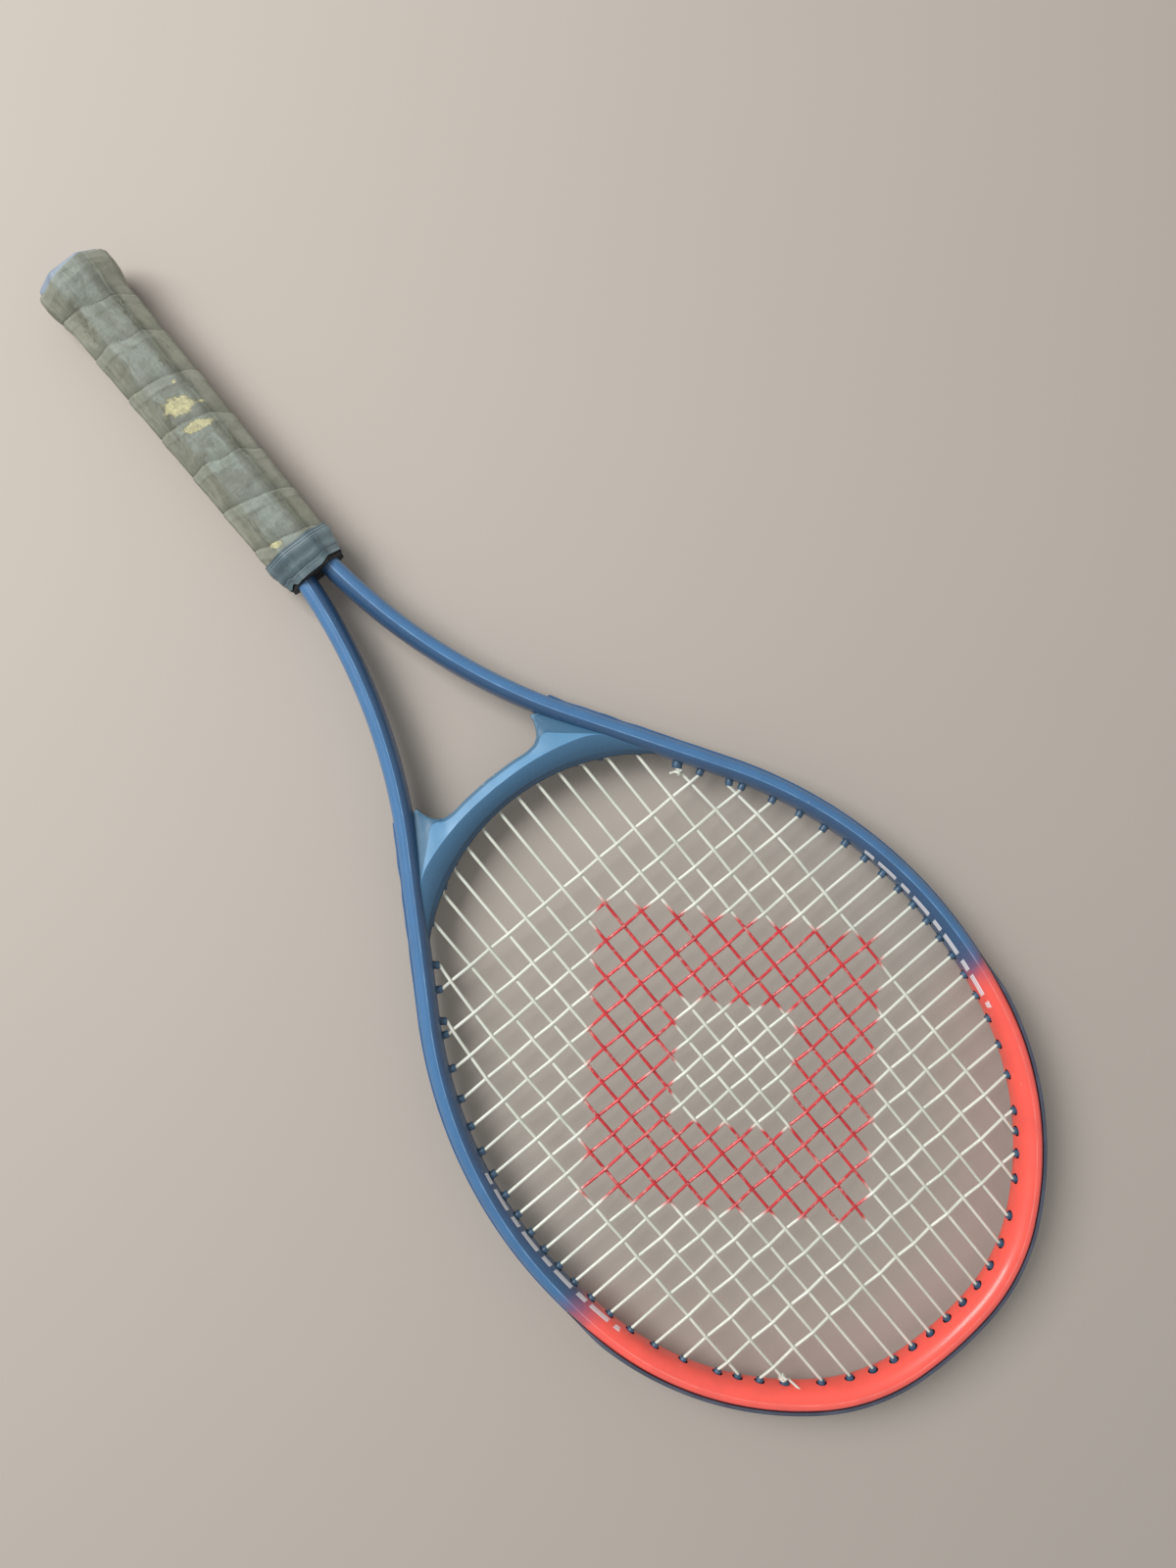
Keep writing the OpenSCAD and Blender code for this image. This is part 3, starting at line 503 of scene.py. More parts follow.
def rim_paint():
    """Metallic blue lacquer that runs through plum into coral at the tip with a soft ragged
    border; painted shade deepens the inner bevel, which has a row of white dashes, and a painted
    highlight runs along the crease; fine flakes, and small chips and rub marks. The second UV
    coordinate is the share of the way round the section."""
    f = Finish("rim_paint", 0.4, Coat_Weight=0.35, Coat_Roughness=0.12, Specular_IOR_Level=0.45)
    p, (along, round_, _) = f.place(), f.parts(f.laid())
    y = f.parts(p)[1]
    coral = (y + (f.noise(p, 90, 2) - 0.5) * 0.012).between(0.513, 0.553)
    # painted shade: the inner bevel takes a deeper blue; the coral hardly changes there
    inner = round_.band(0.212, 0.232, 0.69, 0.71)
    blue = f.mix(inner, (65, 112, 157), (50, 84, 120))
    red = f.mix(inner, (255, 98, 86), (255, 94, 80))
    # painted highlight: a thin pale line along the crease above and below the strings, broken by
    # noise
    crest_highlight = abs(round_.least(0.917 - round_) - 0.2065).fall(0.004, 0.009)
    crest_highlight = crest_highlight * f.noise(p, 90, 3).between(0.35, 0.6, 0.6, 0.25)
    flakes = f.cells(p, 1500).between(0.05, 0.3, 0.22, 0.0)
    # dashes: bars of three fine lines, a long one and a short one in turn, with slanted ends
    beat = (abs(along) * 38.0 + round_ * 0.9).fraction()
    bar = beat.band(0.0, 0.02, 0.48, 0.50).most(beat.band(0.60, 0.62, 0.84, 0.86))
    line = abs(((round_ - 0.334) * 43.5).fraction() - 0.5).between(0.3, 0.42, 1.0, 0.25)
    height = round_.band(0.334, 0.339, 0.398, 0.403) * line
    dash = bar * height * y.band(0.447, 0.4475, 0.5555, 0.556)
    # rubbed spots show the grey primer
    chips = f.noise(p, 420, 2, 0.7).between(0.735, 0.76)
    base = f.layers(
        blue, (coral.between(0.0, 0.55), (120, 84, 116)), (coral.between(0.35, 1.0), red),
        (crest_highlight, f.mix(coral, (146, 182, 214), (255, 158, 146))),
        (flakes, f.mix(coral, (120, 165, 205), (255, 140, 120))),
        (f.noise(p, 60, 4).between(0.3, 0.8, 0.0, 0.16), (39, 48, 63)),
        (dash * 0.9, (232, 234, 238)), (chips * 0.6, (150, 158, 168)))
    return f.done(Base_Color=base, Roughness=f.noise(p, 35, 3).between(0.3, 0.75, 0.34, 0.48),
                  Normal=f.bump(f.noise(p, 900, 2), 0.06, 0.0002))


def bridge_paint():
    """Satin steel blue with a fine orange-peel skin. The second UV coordinate counts the rows
    of the section, and the colour set by rows is painted light and shade: painted shade on the
    string side wall and darkening the crown towards the string side, a painted highlight on the
    bevel past the ridge, painted shade on the horn's face and a painted highlight along its
    outer edge."""
    f = Finish("bridge_paint", 0.5, Coat_Weight=0.1, Coat_Roughness=0.3)
    p, row = f.place(), f.parts(f.laid())[1]
    row = row.least(43.0 - row)
    cloud = f.noise(p, 45, 4)
    # painted light and shade by rows: dark string side wall, crown lighter towards the ridge, pale
    # bevel past it, deeper horn face, pale outer edge
    base = (31, 53, 70)
    for low, high, colour in ((3.0, 10.6, (58, 102, 135)), (10.95, 11.15, (88, 140, 178)),
                              (14.9, 15.05, (53, 99, 129)), (18.3, 18.6, (88, 128, 154))):
        base = f.mix(row.between(low, high, smooth=False), base, colour)
    base = f.layers(base, (cloud.between(0.3, 0.7, 0.0, 0.12), (40, 70, 94)),
                    (f.cells(p, 1700).between(0.05, 0.3, 0.16, 0.0), (150, 190, 215)))
    return f.done(Base_Color=base, Roughness=cloud.between(0.3, 0.7, 0.44, 0.56),
                  Normal=f.bump(f.noise(p, 1100, 2), 0.1, 0.0002))


def scratches(f):
    """Noise drawn out along the rim."""
    return f.noise(f.stretch(f.laid(), (60, 900, 1)), 1.0, 4, 0.6)


def guard_plastic():
    """Moulded slate nylon, satin, scuffed pale in short scratches along the rim."""
    f = Finish("guard_plastic", 0.5)
    p, streak = f.place(), scratches(f)
    scuff = streak.between(0.6, 0.72) * f.noise(p, 30, 2).between(0.45, 0.7)
    base = f.tones(p, 80, 3, (66, 72, 88), (80, 86, 102))
    return f.done(Base_Color=f.mix(scuff * 0.4, base, (138, 142, 152)),
                  Roughness=scuff.between(0, 1, 0.42, 0.7), Normal=f.bump(streak, 0.15, 0.0002))


def side_strip_plastic():
    """Blue nylon of the side strips, near the blue of the lacquer but flat, scuffed along."""
    f = Finish("side_strip_plastic", 0.48)
    streak = scratches(f)
    base = f.tones(f.place(), 80, 3, (46, 84, 126), (56, 96, 140))
    base = f.mix(streak.between(0.62, 0.75, 0.0, 0.5), base, (126, 150, 178))
    return f.done(Base_Color=base, Normal=f.bump(streak, 0.15, 0.0002))


def grommet_plastic():
    """Slate blue nylon of the barrels."""
    f = Finish("grommet_plastic", 0.38)
    p = f.place()
    return f.done(Base_Color=f.tones(p, 300, 3, (46, 74, 98), (62, 92, 118)),
                  Normal=f.bump(f.noise(p, 1400, 2), 0.1, 0.0001))


def hole_shade():
    """Painted shade: a near-black for the inside of a drilled hole, where the hollow tube is dark.
    """
    f = Finish("hole_shade", 0.8)
    return f.done(Base_Color=f.mix(f.noise(f.place(), 800, 2), (16, 18, 24), (34, 38, 48)))


def string_gut():
    """Cream multifilament: fine filaments wound round the string, and over part of the bed a
    broad red lozenge with an open middle, |x| / half width + |y| / half length, stencilled on
    from above and worn thin at its edges."""
    f = Finish("string_gut", 0.38, Coat_Weight=0.15)
    p, (along, round_, _) = f.place(), f.parts(f.laid())
    x, y, _ = f.parts(p)
    filaments = (along * 5200.0 + round_ * (6.2832 * 6)).sine()
    cream = f.tones(p, 40, 3, (222, 224, 212), (200, 205, 192))
    lozenge = abs(x + 0.004) / 0.098 + abs(y - 0.492) / 0.108
    ring = (lozenge + (f.noise(p, 160, 4, 0.7) - 0.5) * 0.09).band(0.40, 0.45, 0.99, 1.06)
    facing = f.parts(f.add("ShaderNodeNewGeometry", output="Normal"))[2]
    worn = f.noise(p, 260, 4, 0.7).between(0.30, 0.5, 0.6, 1.0)
    ink = ring * facing.between(-0.45, 0.1) * worn
    red = f.tones(p, 120, 2, (214, 52, 58), (186, 40, 50))
    return f.done(Base_Color=f.mix(ink, cream, red), Normal=f.bump(filaments, 0.25, 0.0001))


# places where the overgrip is rubbed through: x, y and the half widths both ways, in metres
BARE = ((0.0004, 0.0799, 0.0076, 0.0047), (-0.0006, 0.0914, 0.0084, 0.0025),
        (0.0065, 0.1559, 0.0032, 0.0018), (-0.0048, 0.0688, 0.0011, 0.0009),
        (-0.0090, 0.0812, 0.0014, 0.0008))


def bare_patches(f, p):
    """Share of wear through the overgrip on the front face: ellipses, slanted as the turns
    are, with a ragged edge."""
    x, y, z = f.parts(p)
    slanted, front = y + x * 0.24, z.between(0.004, 0.008)
    ragged = (f.noise(p, 330, 5, 0.7) - 0.5) * 1.5
    patches = 0.0
    for px, py, rx, ry in BARE:
        dx, dy = (x - px) / rx, (slanted - py) / ry
        off = (dx * dx + dy * dy).root() + ragged
        patches = (off.fall(0.80, 1.02) * front).most(patches)
    return patches


def overgrip_rubber():
    """Worn grey-green overgrip: tacky urethane with a fine grain. Olive grime and painted shade
    darken it from the flat faces towards the corners and in front of the raised edge of every
    turn, the lapped band after it is a little lighter, and small patches are rubbed through to
    the yellow cushion. A painted highlight makes the -X side paler, and grime and painted shade
    lie in a broken line along the -X edge of the front face. The second UV coordinate is the
    share of the way through a turn."""
    f = Finish("overgrip_rubber", 0.62)
    p, turn = f.place(), f.parts(f.laid())[1]
    x = f.parts(p)[0]
    cloud, fine = f.noise(p, 60, 5, 0.65), f.noise(p, 520, 3, 0.65)
    wisp = f.noise(f.stretch(p, (150, 60, 150)), 1.0, 4, 0.65, 0.8)
    blotch = f.noise(f.stretch(p, (75, 42, 75)), 1.0, 5, 0.7, 1.2)
    broken = f.noise(p, 140, 3).between(0.36, 0.60, 0.0, 0.6)
    across = abs(x) + (wisp - 0.5) * 0.017
    olive = f.mix(wisp.between(0.35, 0.65), (134, 133, 116), (104, 104, 88))
    streak = across.band(0.0070, 0.0082, 0.0090, 0.0108) * cloud.between(0.44, 0.60, 0.0, 0.6)
    lapped = turn.band(0.01, 0.03, 0.19, 0.235) * cloud.between(0.35, 0.65, 0.26, 0.0)
    # grime and painted shade: broken dark lines at the step of each turn and where the turn beneath
    # ends
    seam = turn.between(0.955, 0.985).most(turn.fall(0.004, 0.02))
    seam = seam.most(turn.between(0.215, 0.235) * turn.between(0.24, 0.262, 0.12, 0.0))
    yellow = f.mix(f.noise(p, 620, 4, 0.7).between(0.35, 0.65), (186, 181, 138), (150, 147, 114))
    # grime and painted shade: a broken dark line along the -X edge of the front face
    corner = x.band(-0.0096, -0.0070, -0.0060, -0.0040) * wisp.between(0.40, 0.60, 0.65, 0.15)
    patches = bare_patches(f, p)
    base = f.layers(
        f.mix(cloud.between(0.3, 0.7), (112, 120, 112), (136, 145, 136)),
        (fine.between(0.4, 0.75, 0.0, 0.4), (88, 93, 84)),
        (blotch.between(0.41, 0.63, 0.0, 0.68), (95, 97, 84)),
        # grime and painted shade: olive from the flat faces towards the corners
        (across.between(0.0036, 0.0125, 0.0, 0.65), olive), (streak, (70, 67, 52)),
        # grime and painted shade darken the stretch in front of the raised edge of each turn
        (turn.between(0.66, 0.99, 0.0, 0.5), (80, 84, 73)), (lapped, (150, 158, 148)),
        (seam * broken, (58, 60, 50)), (patches, yellow),
        # painted highlight: the -X side paler; then the corner line of grime and painted shade
        (x.between(-0.0125, -0.0095, 0.22, 0.0), (186, 186, 170)), (corner, (92, 94, 84)))
    crease = f.noise(f.stretch(p, (160, 420, 160)), 1.0, 4, 0.6, 0.6)
    height = crease * 0.6 + fine * 0.4 - patches * 0.8
    return f.done(Base_Color=base, Roughness=cloud.between(0.3, 0.7, 0.5, 0.75),
                  Normal=f.bump(height, 0.6, 0.0006))


def tape_vinyl():
    """Grey-blue electrician's vinyl, a little glossy, creased; the edges of its turns show as
    thin pale lines with a thin dark line in front of each, and a painted highlight makes the -X
    side paler. The first UV coordinate is the distance from the butt."""
    f = Finish("tape_vinyl", 0.42)
    p, along = f.place(), f.parts(f.laid())[0]
    base = f.layers(
        f.tones(p, 70, 4, (66, 84, 91), (89, 107, 112)),
        (f.noise(p, 500, 3).between(0.5, 0.75, 0.0, 0.4), (48, 62, 72)),
        # painted highlight: the -X side paler
        (f.parts(p)[0].between(-0.0125, -0.0085, 0.5, 0.0), (134, 152, 158)))
    drift = along + (f.noise(p, 45, 2) - 0.5) * 0.0016
    for at in (0.1595, 0.1607, 0.1694):
        off = drift - at
        base = f.layers(base, (abs(off + 0.00035).between(0.0001, 0.0004, 0.6, 0.0), (44, 58, 66)),
                        (abs(off).between(0.00010, 0.00028, 0.4, 0.0), (136, 156, 166)))
    crease = f.noise(f.stretch(p, (60, 520, 60)), 1.0, 3, 0.5, 0.4)
    return f.done(Base_Color=base, Normal=f.bump(crease, 0.35, 0.0004))


def cap_plastic():
    """Pale grey-blue butt cap, moulded with a fine spark texture."""
    f = Finish("cap_plastic", 0.5)
    p = f.place()
    base = f.tones(p, 90, 4, (132, 144, 158), (116, 128, 142))
    base = f.mix(f.noise(p, 700, 2).between(0.55, 0.75, 0.0, 0.3), base, (86, 92, 98))
    return f.done(Base_Color=base, Normal=f.bump(f.cells(p, 1600), 0.2, 0.0002))


def handle_foam():
    """Black moulded handle with a dull skin and faint pores."""
    f = Finish("handle_foam", 0.68)
    p = f.place()
    return f.done(Base_Color=f.tones(p, 60, 3, (13, 13, 15), (23, 23, 26)),
                  Normal=f.bump(f.cells(p, 900).between(0.0, 0.4), 0.3, 0.0003))


def cushion_grip_skin():
    """Pale yellow cushion under the overgrip, with its rows of round perforations."""
    f = Finish("cushion_grip_skin", 0.7)
    dots = f.cells(f.stretch(f.laid(), (180, 180, 1)), 1.0)
    base = f.mix(f.noise(f.place(), 200, 3), (208, 200, 132), (186, 178, 112))
    base = f.mix(dots.between(0.16, 0.24, 0.8, 0.0), base, (96, 90, 62))
    return f.done(Base_Color=base, Normal=f.bump(dots.between(0.12, 0.3), 0.5, 0.0004))


def staple_steel():
    """Drawn steel wire with fine lengthwise lines."""
    f = Finish("staple_steel", 0.3, 1.0)
    lines = f.noise(f.stretch(f.place(), (4000, 4000, 150)), 1.0, 2)
    return f.done(Base_Color=f.mix(lines, (176, 178, 182), (140, 142, 148)),
                  Normal=f.bump(lines, 0.1, 0.0001))


RIM_PAINT, BRIDGE_PAINT, GUARD, GROMMET, SIDE_STRIP = (
    rim_paint(), bridge_paint(), guard_plastic(), grommet_plastic(), side_strip_plastic())
HOLE, GUT, RUBBER, VINYL = hole_shade(), string_gut(), overgrip_rubber(), tape_vinyl()
CAP, FOAM, CUSHION, STEEL = cap_plastic(), handle_foam(), cushion_grip_skin(), staple_steel()


# ================= the rim tube =================
STEP = 2.4                              # between sections along the rim
OUTER_POWER, INNER_POWER = 2.6, 1.9     # how square the tube is outside and over its crease
HOLE_R = 2.75
FULLER, FULLER_FROM, FULLER_TO = 0.28, 430, 560     # wider inwards by this share, over these y


def tube_outline(depth):
    """Section of the tube as (out, up), one row for each channel depth. Outside, a rounded
    square (half width |cos|^(2/outer), half height |sin|^(2/outer)); inside, the width takes a
    lower power, which leaves a soft crease on top and a flatter bevel down to the inner wall.
    The channel's two corners and floor come last."""
    half, a0 = CHANNEL_H / 2, np.arcsin((CHANNEL_H / TUBE_H) ** (OUTER_POWER / 2))
    a = np.concatenate([np.linspace(a0, np.pi / 2, 13), np.linspace(0.5, 1.5, 33)[1:-1] * np.pi,
                        np.linspace(np.pi * 1.5, 2 * np.pi - a0, 13)])
    c, s = np.cos(a), np.sin(a)
    n = TUBE_W / 2 * np.sign(c) * np.abs(c) ** np.where(c > 0, 2 / OUTER_POWER, 2 / INNER_POWER)
    z = TUBE_H / 2 * np.sign(s) * np.abs(s) ** (2 / OUTER_POWER)
    floor_z = [0.3 - half, -half * 0.4, half * 0.4, half - 0.3]
    rows = len(depth)
    out = np.concatenate([np.tile(n, (rows, 1)), np.repeat(n[0] - depth[:, None], 4, 1)], 1)
    return np.stack([out, np.tile(np.concatenate([z, floor_z]), (rows, 1))], -1)


def build_rim():
    """The hairpin tube: the section carried along the rim line, fuller inwards round the tip,
    with round holes cut through its inner wall a little wider than the barrels that come out
    of them. The channel runs out below the side strips."""
    fade_out = S_LOW + np.array([0.0, 4.0, 8.0, 12.0, 16.0])
    s = both_sides(np.unique(np.concatenate([np.arange(0, S_END, STEP), [S_END], fade_out])))
    lip = tube_outline(np.zeros(1))[0, 0, 0]
    section = tube_outline((lip - WALL_FLOOR) * (1 - ease(np.abs(s), S_LOW + 2, S_LOW + 16)))
    fuller = 1 + FULLER * ease(rim_at(s)[0][:, 1], FULLER_FROM, FULLER_TO)[:, None]
    section[..., 0] *= np.where(section[..., 0] < 0, fuller, 1.0)
    uv = grid_uv(s, np.linspace(0, 1, section.shape[1] + 1))
    rim = make_piece("rim", [surface(rim_rings(s, section), uv)], [RIM_PAINT, HOLE],
                     ["frame"])
    inner_wall = [[BARREL_OUT - 2.4, HOLE_R], [BARREL_OUT + 2.6, HOLE_R]]
    cutters = []
    for side in (1, -1):
        for holes in (TIP_HOLES, SIDE_HOLES, LOW_HOLES):
            cutters += turned(mirror_holes(holes, side), inner_wall, 20)
    drill(rim, cutters, 32)


# ================= bumper and grommet strips =================
STRIP_H, BRIDGE_STRIP_H = CHANNEL_H - 0.4, CHANNEL_H - 0.6
BARREL_R, BORE_R, WIDE_BARREL_R, WIDE_BORE_R = 1.95, 1.0, 2.6, 1.9
BARREL_SHORT, BARREL_START = 0.3, 1.9   # below the strip's floor; in the bridge, past the mouth
JOINT_GAP, RUN_OUT = 0.3, 26.0          # at the bumper's ends, and how its shell runs out
SLACK = 0.28                            # how far a side strip wanders out of its channel


def band_outline(floor, outside, height, r):
    """Strip in a channel: a channel section open outwards, floor towards the tube, its corners
    rounded by r."""
    h, g, groove = height / 2, GROOVE_W / 2, floor + STRIP_FLOOR
    return rounded([[floor, -h], [outside, -h], [outside, -g], [groove, -g],
                    [groove, g], [outside, g], [outside, h], [floor, h]], r)


def bumper_outline(full):
    """The bumper: the same strip with a rounded shell that laps over the outside of the tube;
    full is 1 on the bumper and runs out to a plain strip, 0, at its ends."""
    h, g, floor, lip = STRIP_H / 2, GROOVE_W / 2, WALL_FLOOR + GAP, TUBE_W / 2 + GAP
    face = TUBE_W / 2 + STRIP_OUT + (BUMPER_OUT - STRIP_OUT) * full
    wing = h + 0.3 + 4.2 * full
    half = [[floor, h], [lip, h], [lip - 1.2 * full, wing], [face - 0.2 - 0.7 * full, wing],
            [face, wing - 0.2 - 2.0 * full], [face, g], [GROOVE_FLOOR, g]]
    return rounded(half + [[a, -b] for a, b in half[::-1]], 0.4)


def barrels(holes, wide=False):
    """Grommet barrels: a tube with a rounded lip at its mouth, turned about the axis of each
    hole; a wide one takes a second string. The profile runs up the outside from the strip,
    over the lip, down the bore and back to its start."""
    end = holes[2] - (STRING_N - GROOVE_FLOOR) - BARREL_SHORT
    r = np.where(wide, WIDE_BARREL_R, BARREL_R) + 0 * end
    b = np.where(wide, WIDE_BORE_R, BORE_R) + 0 * end
    rows = ((end, r + 0.1), (2.2, r + 0.04), (0.45, r), (0.12, r - 0.14), (0.0, r - 0.38),
            (0.0, b + 0.3), (0.14, b + 0.08), (0.45, b), (2.4, b), (end, b))
    profile = np.stack([np.stack([out + 0 * end, radius], -1) for out, radius in rows], 1)
    return turned(holes, profile, 16, along=True)


def strip_piece(name, s, outline, tubes, node, finish):
    """One strip with its barrels; its UV is the length along the rim by that round the
    section."""
    first = outline[0]
    per = np.linalg.norm(np.diff(np.vstack([first, first[:1]]), axis=0), axis=1)
    uv = grid_uv(s, np.concatenate([[0], np.cumsum(per)]) * MM)
    make_piece(name, [surface(rim_rings(s, outline), uv)] + tubes, [finish, GROMMET],
               [node])


def build_strips():
    """Bumper round the tip and the upper sides, a strip down each lower side that has lost its
    straightness towards the throat, and their barrels. One hole at the tip and one at the
    throat have the wide barrel of a tie-off."""
    tie, upper = np.arange(MAINS) == TIE, SIDE_HOLES[3] < S_JOINT
    top = S_JOINT - JOINT_GAP
    s = both_sides(np.append(np.arange(0, top, STEP), top))
    full = ease(np.abs(s), S_JOINT, S_JOINT - RUN_OUT)[:, None, None]
    outline = bumper_outline(0.0) * (1 - full) + bumper_outline(1.0) * full
    tubes = []
    for side in (1, -1):
        tubes += barrels(mirror_holes(TIP_HOLES, side), tie & (side > 0))
        tubes += barrels(mirror_holes([a[upper] for a in SIDE_HOLES], side))
    strip_piece("bumper", s, outline, tubes, "bumper_guard", GUARD)
    s = np.append(np.arange(S_JOINT + JOINT_GAP, S_LOW, STEP), S_LOW)
    plain = band_outline(WALL_FLOOR + GAP, TUBE_W / 2 + STRIP_OUT, STRIP_H, 0.35)
    for side, name, node in ((1, "side_strip_left", "grommet_strip_left"),
                             (-1, "side_strip_right", "grommet_strip_right")):
        tubes = barrels(mirror_holes([a[~upper] for a in SIDE_HOLES], side))
        tubes += barrels(mirror_holes(LOW_HOLES, side), tie[BRIDGE_MAINS:] & (side < 0))
        wave = SLACK * np.sin(s / 3.1) * np.sin(s / 11.0 + side)
        wave = (wave * ease(s, S_LOW - 90, S_LOW - 30))[:, None]
        outline = np.tile(plain, (len(s), 1, 1))
        outline[..., 0] += wave * (outline[..., 0] > GROOVE_FLOOR + 0.5)
        strip_piece(name, s * side, outline, tubes, node, SIDE_STRIP)


# ================= throat bridge =================
# half of the bridge from its middle (share 0) to where it dies into the tube (share 1).
# Columns: share, then x and y of the ridge, of the crease on the horn and of the throat side
# edge, then the heights of the string side shoulder, the ridge, the crease and the edge above
# the string plane
BRIDGE_STATIONS = np.array([
    [0.00, 0.0, 306.1, 0.0, 302.3, 0.0, 301.4, 6.9, 7.8, 5.9, 5.3],
    [0.20, 15.5, 306.8, 15.0, 303.1, 14.7, 302.1, 6.9, 7.8, 5.9, 5.3],
    [0.34, 26.5, 308.2, 25.2, 303.9, 24.7, 303.0, 6.9, 7.8, 5.9, 5.3],
    [0.40, 31.0, 309.1, 29.3, 303.2, 28.7, 302.4, 6.9, 7.8, 5.9, 5.2],
    [0.45, 35.0, 310.0, 32.5, 301.2, 31.6, 300.4, 6.9, 7.8, 6.0, 5.1],
    [0.50, 39.5, 311.2, 36.1, 301.2, 33.5, 297.8, 6.9, 7.8, 6.3, 4.7],
    [0.55, 43.6, 312.4, 40.3, 304.8, 35.1, 294.2, 6.9, 7.7, 6.5, 4.3],
    [0.60, 47.6, 313.8, 44.6, 308.5, 36.5, 290.2, 6.9, 7.6, 6.6, 3.8],
    [0.65, 51.4, 315.5, 49.0, 312.2, 42.5, 294.6, 6.8, 7.4, 6.8, 3.8],
    [0.70, 55.2, 317.9, 53.8, 316.3, 47.5, 301.0, 6.7, 7.2, 6.9, 4.0],
    [0.78, 60.6, 322.8, 60.2, 322.2, 55.0, 311.5, 6.5, 7.0, 6.9, 4.2],
    [0.88, 67.6, 331.4, 67.3, 330.9, 65.0, 326.0, 6.0, 6.5, 6.4, 4.4],
    [1.00, 77.0, 347.6, 76.8, 347.3, 76.2, 346.2, 5.2, 5.6, 5.5, 4.4]])
CROWN = 1.1
STRIP_HALF, STRIP_SUNK = 33.2, 0.9      # half length of the barrels' band, depth of its edge
DRILL = [[-2.0, 2.0], [19.0, 2.0]]      # profile of a hole through the bridge


def smooth_columns(table, share):
    """Each column of a table at new shares: a cubic through the stations with slopes from the
    neighbouring stations."""
    x = table[:, 0]
    slope = np.gradient(table[:, 1:], x, axis=0)
    k = np.clip(np.searchsorted(x, share, "right") - 1, 0, len(x) - 2)
    w = (x[k + 1] - x[k])[:, None]
    t = (share - x[k])[:, None] / w
    return hermite(t, table[k, 1:], table[k + 1, 1:], w * slope[k], w * slope[k + 1])


def bridge_sections(share):
    """Closed sections (rows, points, 3) of one half of the bridge. Over the top they run from
    the string side wall over a rounded shoulder, across a crowned top to the ridge, down the
    bevel to the crease, over the horn's face to the throat side edge; then across the string
    channel and back underneath as a mirror image."""
    c = smooth_columns(BRIDGE_STATIONS, share)
    a = np.radians(share * BRIDGE_TURN)
    inner, ridge, crease, edge = bridge_arc(a, BRIDGE_R), c[:, 0:2], c[:, 2:4], c[:, 4:6]
    zs, zr, zc, ze = c[:, 6] - 2.2 * (1 - ease(share, 0.75, 1.0)), c[:, 7], c[:, 8], c[:, 9]
    rows = [(inner, 0 * zs), (inner, zs * 0.5), (inner, zs - 1.3)]
    for d, drop in ((0.18, 0.62), (0.6, 0.2), (1.25, 0.0)):
        rows.append((inner + unit(ridge - inner) * d, zs - drop))
    for t in (0.25, 0.45, 0.65, 0.83, 0.95):
        crown = CROWN * np.sin(np.pi * t) * (1 - 0.5 * t)
        rows.append((inner + (ridge - inner) * t, zs + (zr - zs) * t + crown))
    for p, q, zp, zq, shares in ((ridge, crease, zr, zc, (0, 0.12, 0.5, 0.88)),
                                 (crease, edge, zc, ze, (0, 0.2, 0.55, 0.9))):
        rows += [(p + (q - p) * t, zp + (zq - zp) * t) for t in shares]
    floor, lip = bridge_arc(a * 0.94, RING_FLOOR), np.minimum(ze - 0.75, CHANNEL_H / 2)
    low = edge + (floor - edge) * (1 - ease(share, 0.395, 0.43))[:, None]
    rows += [(edge, ze - 0.35), (edge, lip), (low, lip - 0.15)]
    top = np.stack([np.concatenate([p, z[:, None]], 1) for p, z in rows], 1)
    return np.concatenate([top, top[:, :0:-1] * (1, 1, -1)], 1)


def build_bridge():
    """Both halves of the bridge as one shell, drilled for the five inner mains on each side,
    and the band of its barrels in the channel."""
    half = bridge_sections(np.unique(np.append(np.linspace(0, 1, 81),
                                               np.linspace(0.38, 0.72, 40))))
    rings = np.concatenate([half[:0:-1] * (-1, 1, 1), half])
    bridge = make_piece("bridge", [surface(rings)], [BRIDGE_PAINT, HOLE],
                        ["throat_bridge"], 30)
    drills, tubes = [], []
    for side in (1, -1):
        m, u, reach, s = holes = mirror_holes(BRIDGE_HOLES, side)
        drills += turned(holes, DRILL, 20)
        tubes += barrels((m + u * BARREL_START, u, reach - BARREL_START, s))
    drill(bridge, drills, 14)
    a = np.linspace(-1, 1, 61)[:, None] * np.arcsin(STRIP_HALF / BRIDGE_OUT)
    outline = band_outline(RING_FLOOR + GAP, BRIDGE_OUT - STRIP_SUNK, BRIDGE_STRIP_H, 0.3)
    flat = bridge_arc(a, outline[:, 0])
    up = np.broadcast_to(outline[:, 1:], flat.shape[:-1] + (1,))
    make_piece("bridge_strip", [surface(np.concatenate([flat, up], -1))] + tubes,
               [GUARD, GROMMET], ["bridge_grommets"])


# ================= strings =================
SIDE_BY_SIDE = 0.85     # two strings in the groove lie this far above and below its middle
TURN_IN = 1.3           # a string rounds in and out of a hole over this length
CLEAR = 0.8             # strings cross only where they are this far inside the mouths
KNOT_R = 1.38


